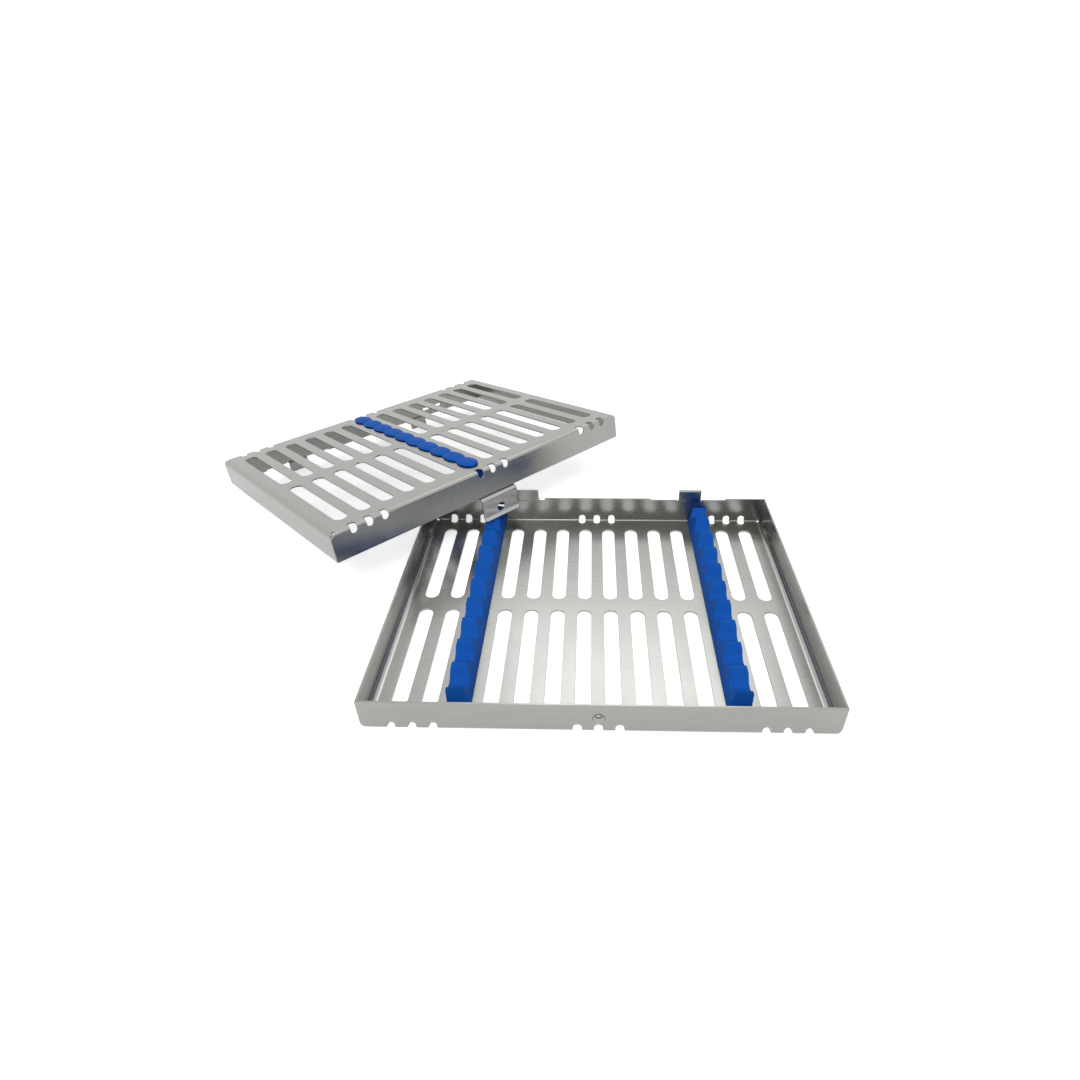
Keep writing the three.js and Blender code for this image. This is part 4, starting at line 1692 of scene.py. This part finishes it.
@dataclass(frozen=True)
class FittedCamera:
    """The camera that was fitted to the photograph's perspective by the corners of both trays.

    Attributes:
        sensor: width of the sensor, in millimetres.
        lens: focal length, in millimetres.
        shift: sideways and upward shift of the lens, as shares of the sensor.
        place: in millimetres.
        turn: about X, Y and Z, in degrees.
        clip: the nearest and farthest distance that it sees, in metres.
    """

    sensor: float = 36.0
    lens: float = 22.1502
    shift: Pair = (-0.02791, -0.00710)
    place: Place = (-3.753, -234.075, 203.687)
    turn: Turn = (55.2793, 0.6535, 1.6136)
    clip: Pair = (0.01, 20.0)

    def build(self) -> None:
        """Adds the camera and makes it the scene's own."""
        data = bpy.data.cameras.new("camera")
        data.sensor_width = self.sensor
        data.lens = self.lens
        data.shift_x, data.shift_y = self.shift
        data.clip_start, data.clip_end = self.clip
        obj = bpy.data.objects.new("camera", data)
        obj.location = Vector(self.place) * MM
        obj.rotation_euler = Euler([math.radians(angle) for angle in self.turn], "XYZ")
        bpy.context.scene.collection.objects.link(obj)
        bpy.context.scene.camera = obj


@dataclass(frozen=True)
class Lamp:
    """An oblong area lamp that faces the cassette.

    Attributes:
        name: of the lamp.
        place: in metres.
        size: of its two sides, in metres.
        power: in watts.
        mirrored: whether polished surfaces show it.
    """

    name: str
    place: Place
    size: Pair
    power: float
    mirrored: bool = True

    # The place that every lamp faces, in the rear half of the base, in metres.
    TARGET: ClassVar[Place] = (0.0, 0.05, 0.0)

    def build(self) -> None:
        """Hangs the lamp."""
        data = bpy.data.lights.new(self.name, "AREA")
        data.shape = "RECTANGLE"
        data.size, data.size_y = self.size
        data.energy = self.power
        obj = bpy.data.objects.new(self.name, data)
        obj.location = self.place
        towards = Vector(self.TARGET) - Vector(self.place)
        obj.rotation_euler = towards.to_track_quat("-Z", "Y").to_euler()
        obj.visible_glossy = self.mirrored
        bpy.context.scene.collection.objects.link(obj)


@dataclass
class Studio:
    """The pale floor, the even white surroundings and the dark card. Sizes in metres.

    Attributes:
        floor_size: side of the square floor.
        floor_drop: how far the floor lies under the base's underside.
        floor_colour: of the floor, as matt surfaces are lit by it.
        floor_gloss: brightness added to the floor where steel mirrors it.
        fill: brightness of the surroundings for matt surfaces.
        matt: roughness of the floor and of the card.
        card_colour: of the card.
        card_size: its width and height.
        card_place: its middle, behind the camera.
    """

    floor_size: float = 6.0
    floor_drop: float = 0.0005
    floor_colour: str = WHITE
    floor_gloss: float = 0.15
    fill: float = 0.52
    matt: float = 0.9
    card_colour: str = "B8B8B8"
    card_size: Pair = (3.4, 1.1)
    card_place: Place = (0.0, -1.45, 0.65)

    def board(self, name: str, size: Pair, material: bpy.types.Material) -> bpy.types.Object:
        """Makes a flat oblong board that isn't part of the object.

        Args:
            name: of the board.
            size: its width and height.
            material: that it wears.

        Returns:
            The board, lying at the origin.
        """
        across, high = (side / 2 for side in size)
        mesh = bpy.data.meshes.new(name)
        mesh.from_pydata([(-across, -high, 0), (across, -high, 0), (across, high, 0),
                          (-across, high, 0)], [], [(0, 1, 2, 3)])
        mesh.materials.append(material)
        obj = link_object(name, mesh)
        return obj

    def matt_material(self, name: str, colour: str) -> bpy.types.Material:
        """Makes a plain matt material for a board.

        Args:
            name: of the material.
            colour: its hex colour.

        Returns:
            The material.
        """
        material = bpy.data.materials.new(name)
        material.use_nodes = True
        shader = material.node_tree.nodes["Principled BSDF"]
        shader.inputs["Base Color"].default_value = linear_colour(colour)
        shader.inputs["Roughness"].default_value = self.matt
        return material

    def floor(self) -> None:
        """Lays a pale floor that looks white to the camera and keeps the object's soft shadow."""
        material = self.matt_material("pale_floor", self.floor_colour)
        tree = material.node_tree
        shader = tree.nodes["Principled BSDF"]
        shader.inputs["Specular IOR Level"].default_value = 0.0
        shader.inputs["Emission Color"].default_value = linear_colour(WHITE)
        ray = add_node(tree, "ShaderNodeLightPath")
        seen = add_node(tree, "ShaderNodeMath", {"operation": "MULTIPLY"}, {
            0: ray.outputs["Is Camera Ray"], 1: 1 - self.fill})
        glow = add_node(tree, "ShaderNodeMath", {"operation": "MULTIPLY_ADD"}, {
            0: ray.outputs["Is Glossy Ray"], 1: self.floor_gloss, 2: seen})
        tree.links.new(glow.outputs[0], shader.inputs["Emission Strength"])
        obj = self.board("floor", (self.floor_size, self.floor_size), material)
        obj.location.z = -self.floor_drop

    def surroundings(self) -> None:
        """Makes them white to the camera and in reflections, and a plain light for matt surfaces."""
        world = bpy.data.worlds.new("surroundings")
        bpy.context.scene.world = world
        world.use_nodes = True
        tree = world.node_tree
        background = tree.nodes["Background"]
        background.inputs["Color"].default_value = linear_colour(WHITE)
        ray = add_node(tree, "ShaderNodeLightPath")
        white = add_node(tree, "ShaderNodeMath", {"operation": "MAXIMUM"}, {
            0: ray.outputs["Is Camera Ray"], 1: ray.outputs["Is Glossy Ray"]})
        strength = add_node(tree, "ShaderNodeMapRange", {}, {
            "Value": white, "To Min": self.fill, "To Max": 1.0})
        tree.links.new(strength.outputs[0], background.inputs["Strength"])

    def dark_card(self) -> None:
        """Stands a dark card behind the camera, which only polished surfaces mirror."""
        material = self.matt_material("matt_grey_card", self.card_colour)
        obj = self.board("dark_card", self.card_size, material)
        obj.location = self.card_place
        obj.rotation_euler = Vector(self.card_place).to_track_quat("Z", "Y").to_euler()
        obj.visible_camera = False
        obj.visible_diffuse = False
        obj.visible_shadow = False


def main() -> None:
    """Builds the cassette, its camera, its floor and its light."""
    bpy.context.scene.view_settings.view_transform = "Standard"
    tray = TrayHalf()
    stand = LidStand()
    lid_frame = stand.lid_frame()
    lid_tray_frame = stand.tray_frame(tray.height)

    # Stainless sheet, rolled and satin finished: soft reflections with fine streaks along the tray.
    sheet = SatinSheet("satin_rolled_stainless_sheet", base="A9AAA6", dark="A2A39F",
                       roughness=0.24, streak=0.02, grain_mm=0.35, stretch=60,
                       smudge_mm=30, bump=0.025)
    base_steel = sheet.build()
    lid_steel = sheet.build(stand.turn())
    # Stainless spring strip, bright rolled: a little paler, with clearer reflections.
    clip_steel = SatinSheet("bright_spring_stainless", base="B4B6B4", dark="ADAFAD",
                            roughness=0.15, streak=0.02, grain_mm=0.3, stretch=40,
                            smudge_mm=12, bump=0.03).build(stand.turn())
    # Silicone rubber, moulded in a blasted mould: one deep blue, matt, with hardly a highlight.
    silicone = MouldedSilicone("moulded_blue_silicone", base="1153AC", worn="1557B0",
                               roughness=0.5, texture_mm=0.5, cloud_mm=14, bump=0.2,
                               sheen_level=0.06).build()

    base_sheet = tray.build("base_sheet", Matrix.Identity(4), with_catch=True)
    tray.dress(base_sheet, base_steel, Body.BASE, "base_tray")
    lid_sheet = tray.build("lid_sheet", lid_tray_frame, with_catch=False)
    tray.dress(lid_sheet, lid_steel, Body.LID, "lid_tray")
    clip = SpringClip()
    clip.dress(clip.build("spring_clip", lid_frame), clip_steel, Body.LATCH, "latch_clip")
    for side in Side:
        word = side.name.lower()
        rack = InstrumentRack(side, tray.pitch)
        rack.dress(rack.build("silicone_rack_" + word, silicone), silicone, Body.BASE, "rack_" + word)
    strip = GripStrip(tray.pitch)
    strip_piece = strip.build("silicone_grip_strip", silicone, lid_tray_frame)
    strip.dress(strip_piece, silicone, Body.LID, "lid_grip_strip")

    FittedCamera().build()
    studio = Studio()
    studio.floor()
    studio.surroundings()
    studio.dark_card()
    Lamp("key", (-0.15, -0.78, 1.1), (0.5, 0.3), 2.2).build()
    # Lights the matt silicone only: the steel doesn't mirror it.
    Lamp("front_fill", (-0.1, -0.85, 1.0), (0.8, 0.6), 6.0, mirrored=False).build()
    Lamp("overhead", (0.0, 0.0, 1.2), (0.9, 0.35), 1.0).build()
    Lamp("softbox", (0.1, 1.13, 1.38), (0.82, 0.55), 2.0).build()


if __name__ == "__main__":
    main()
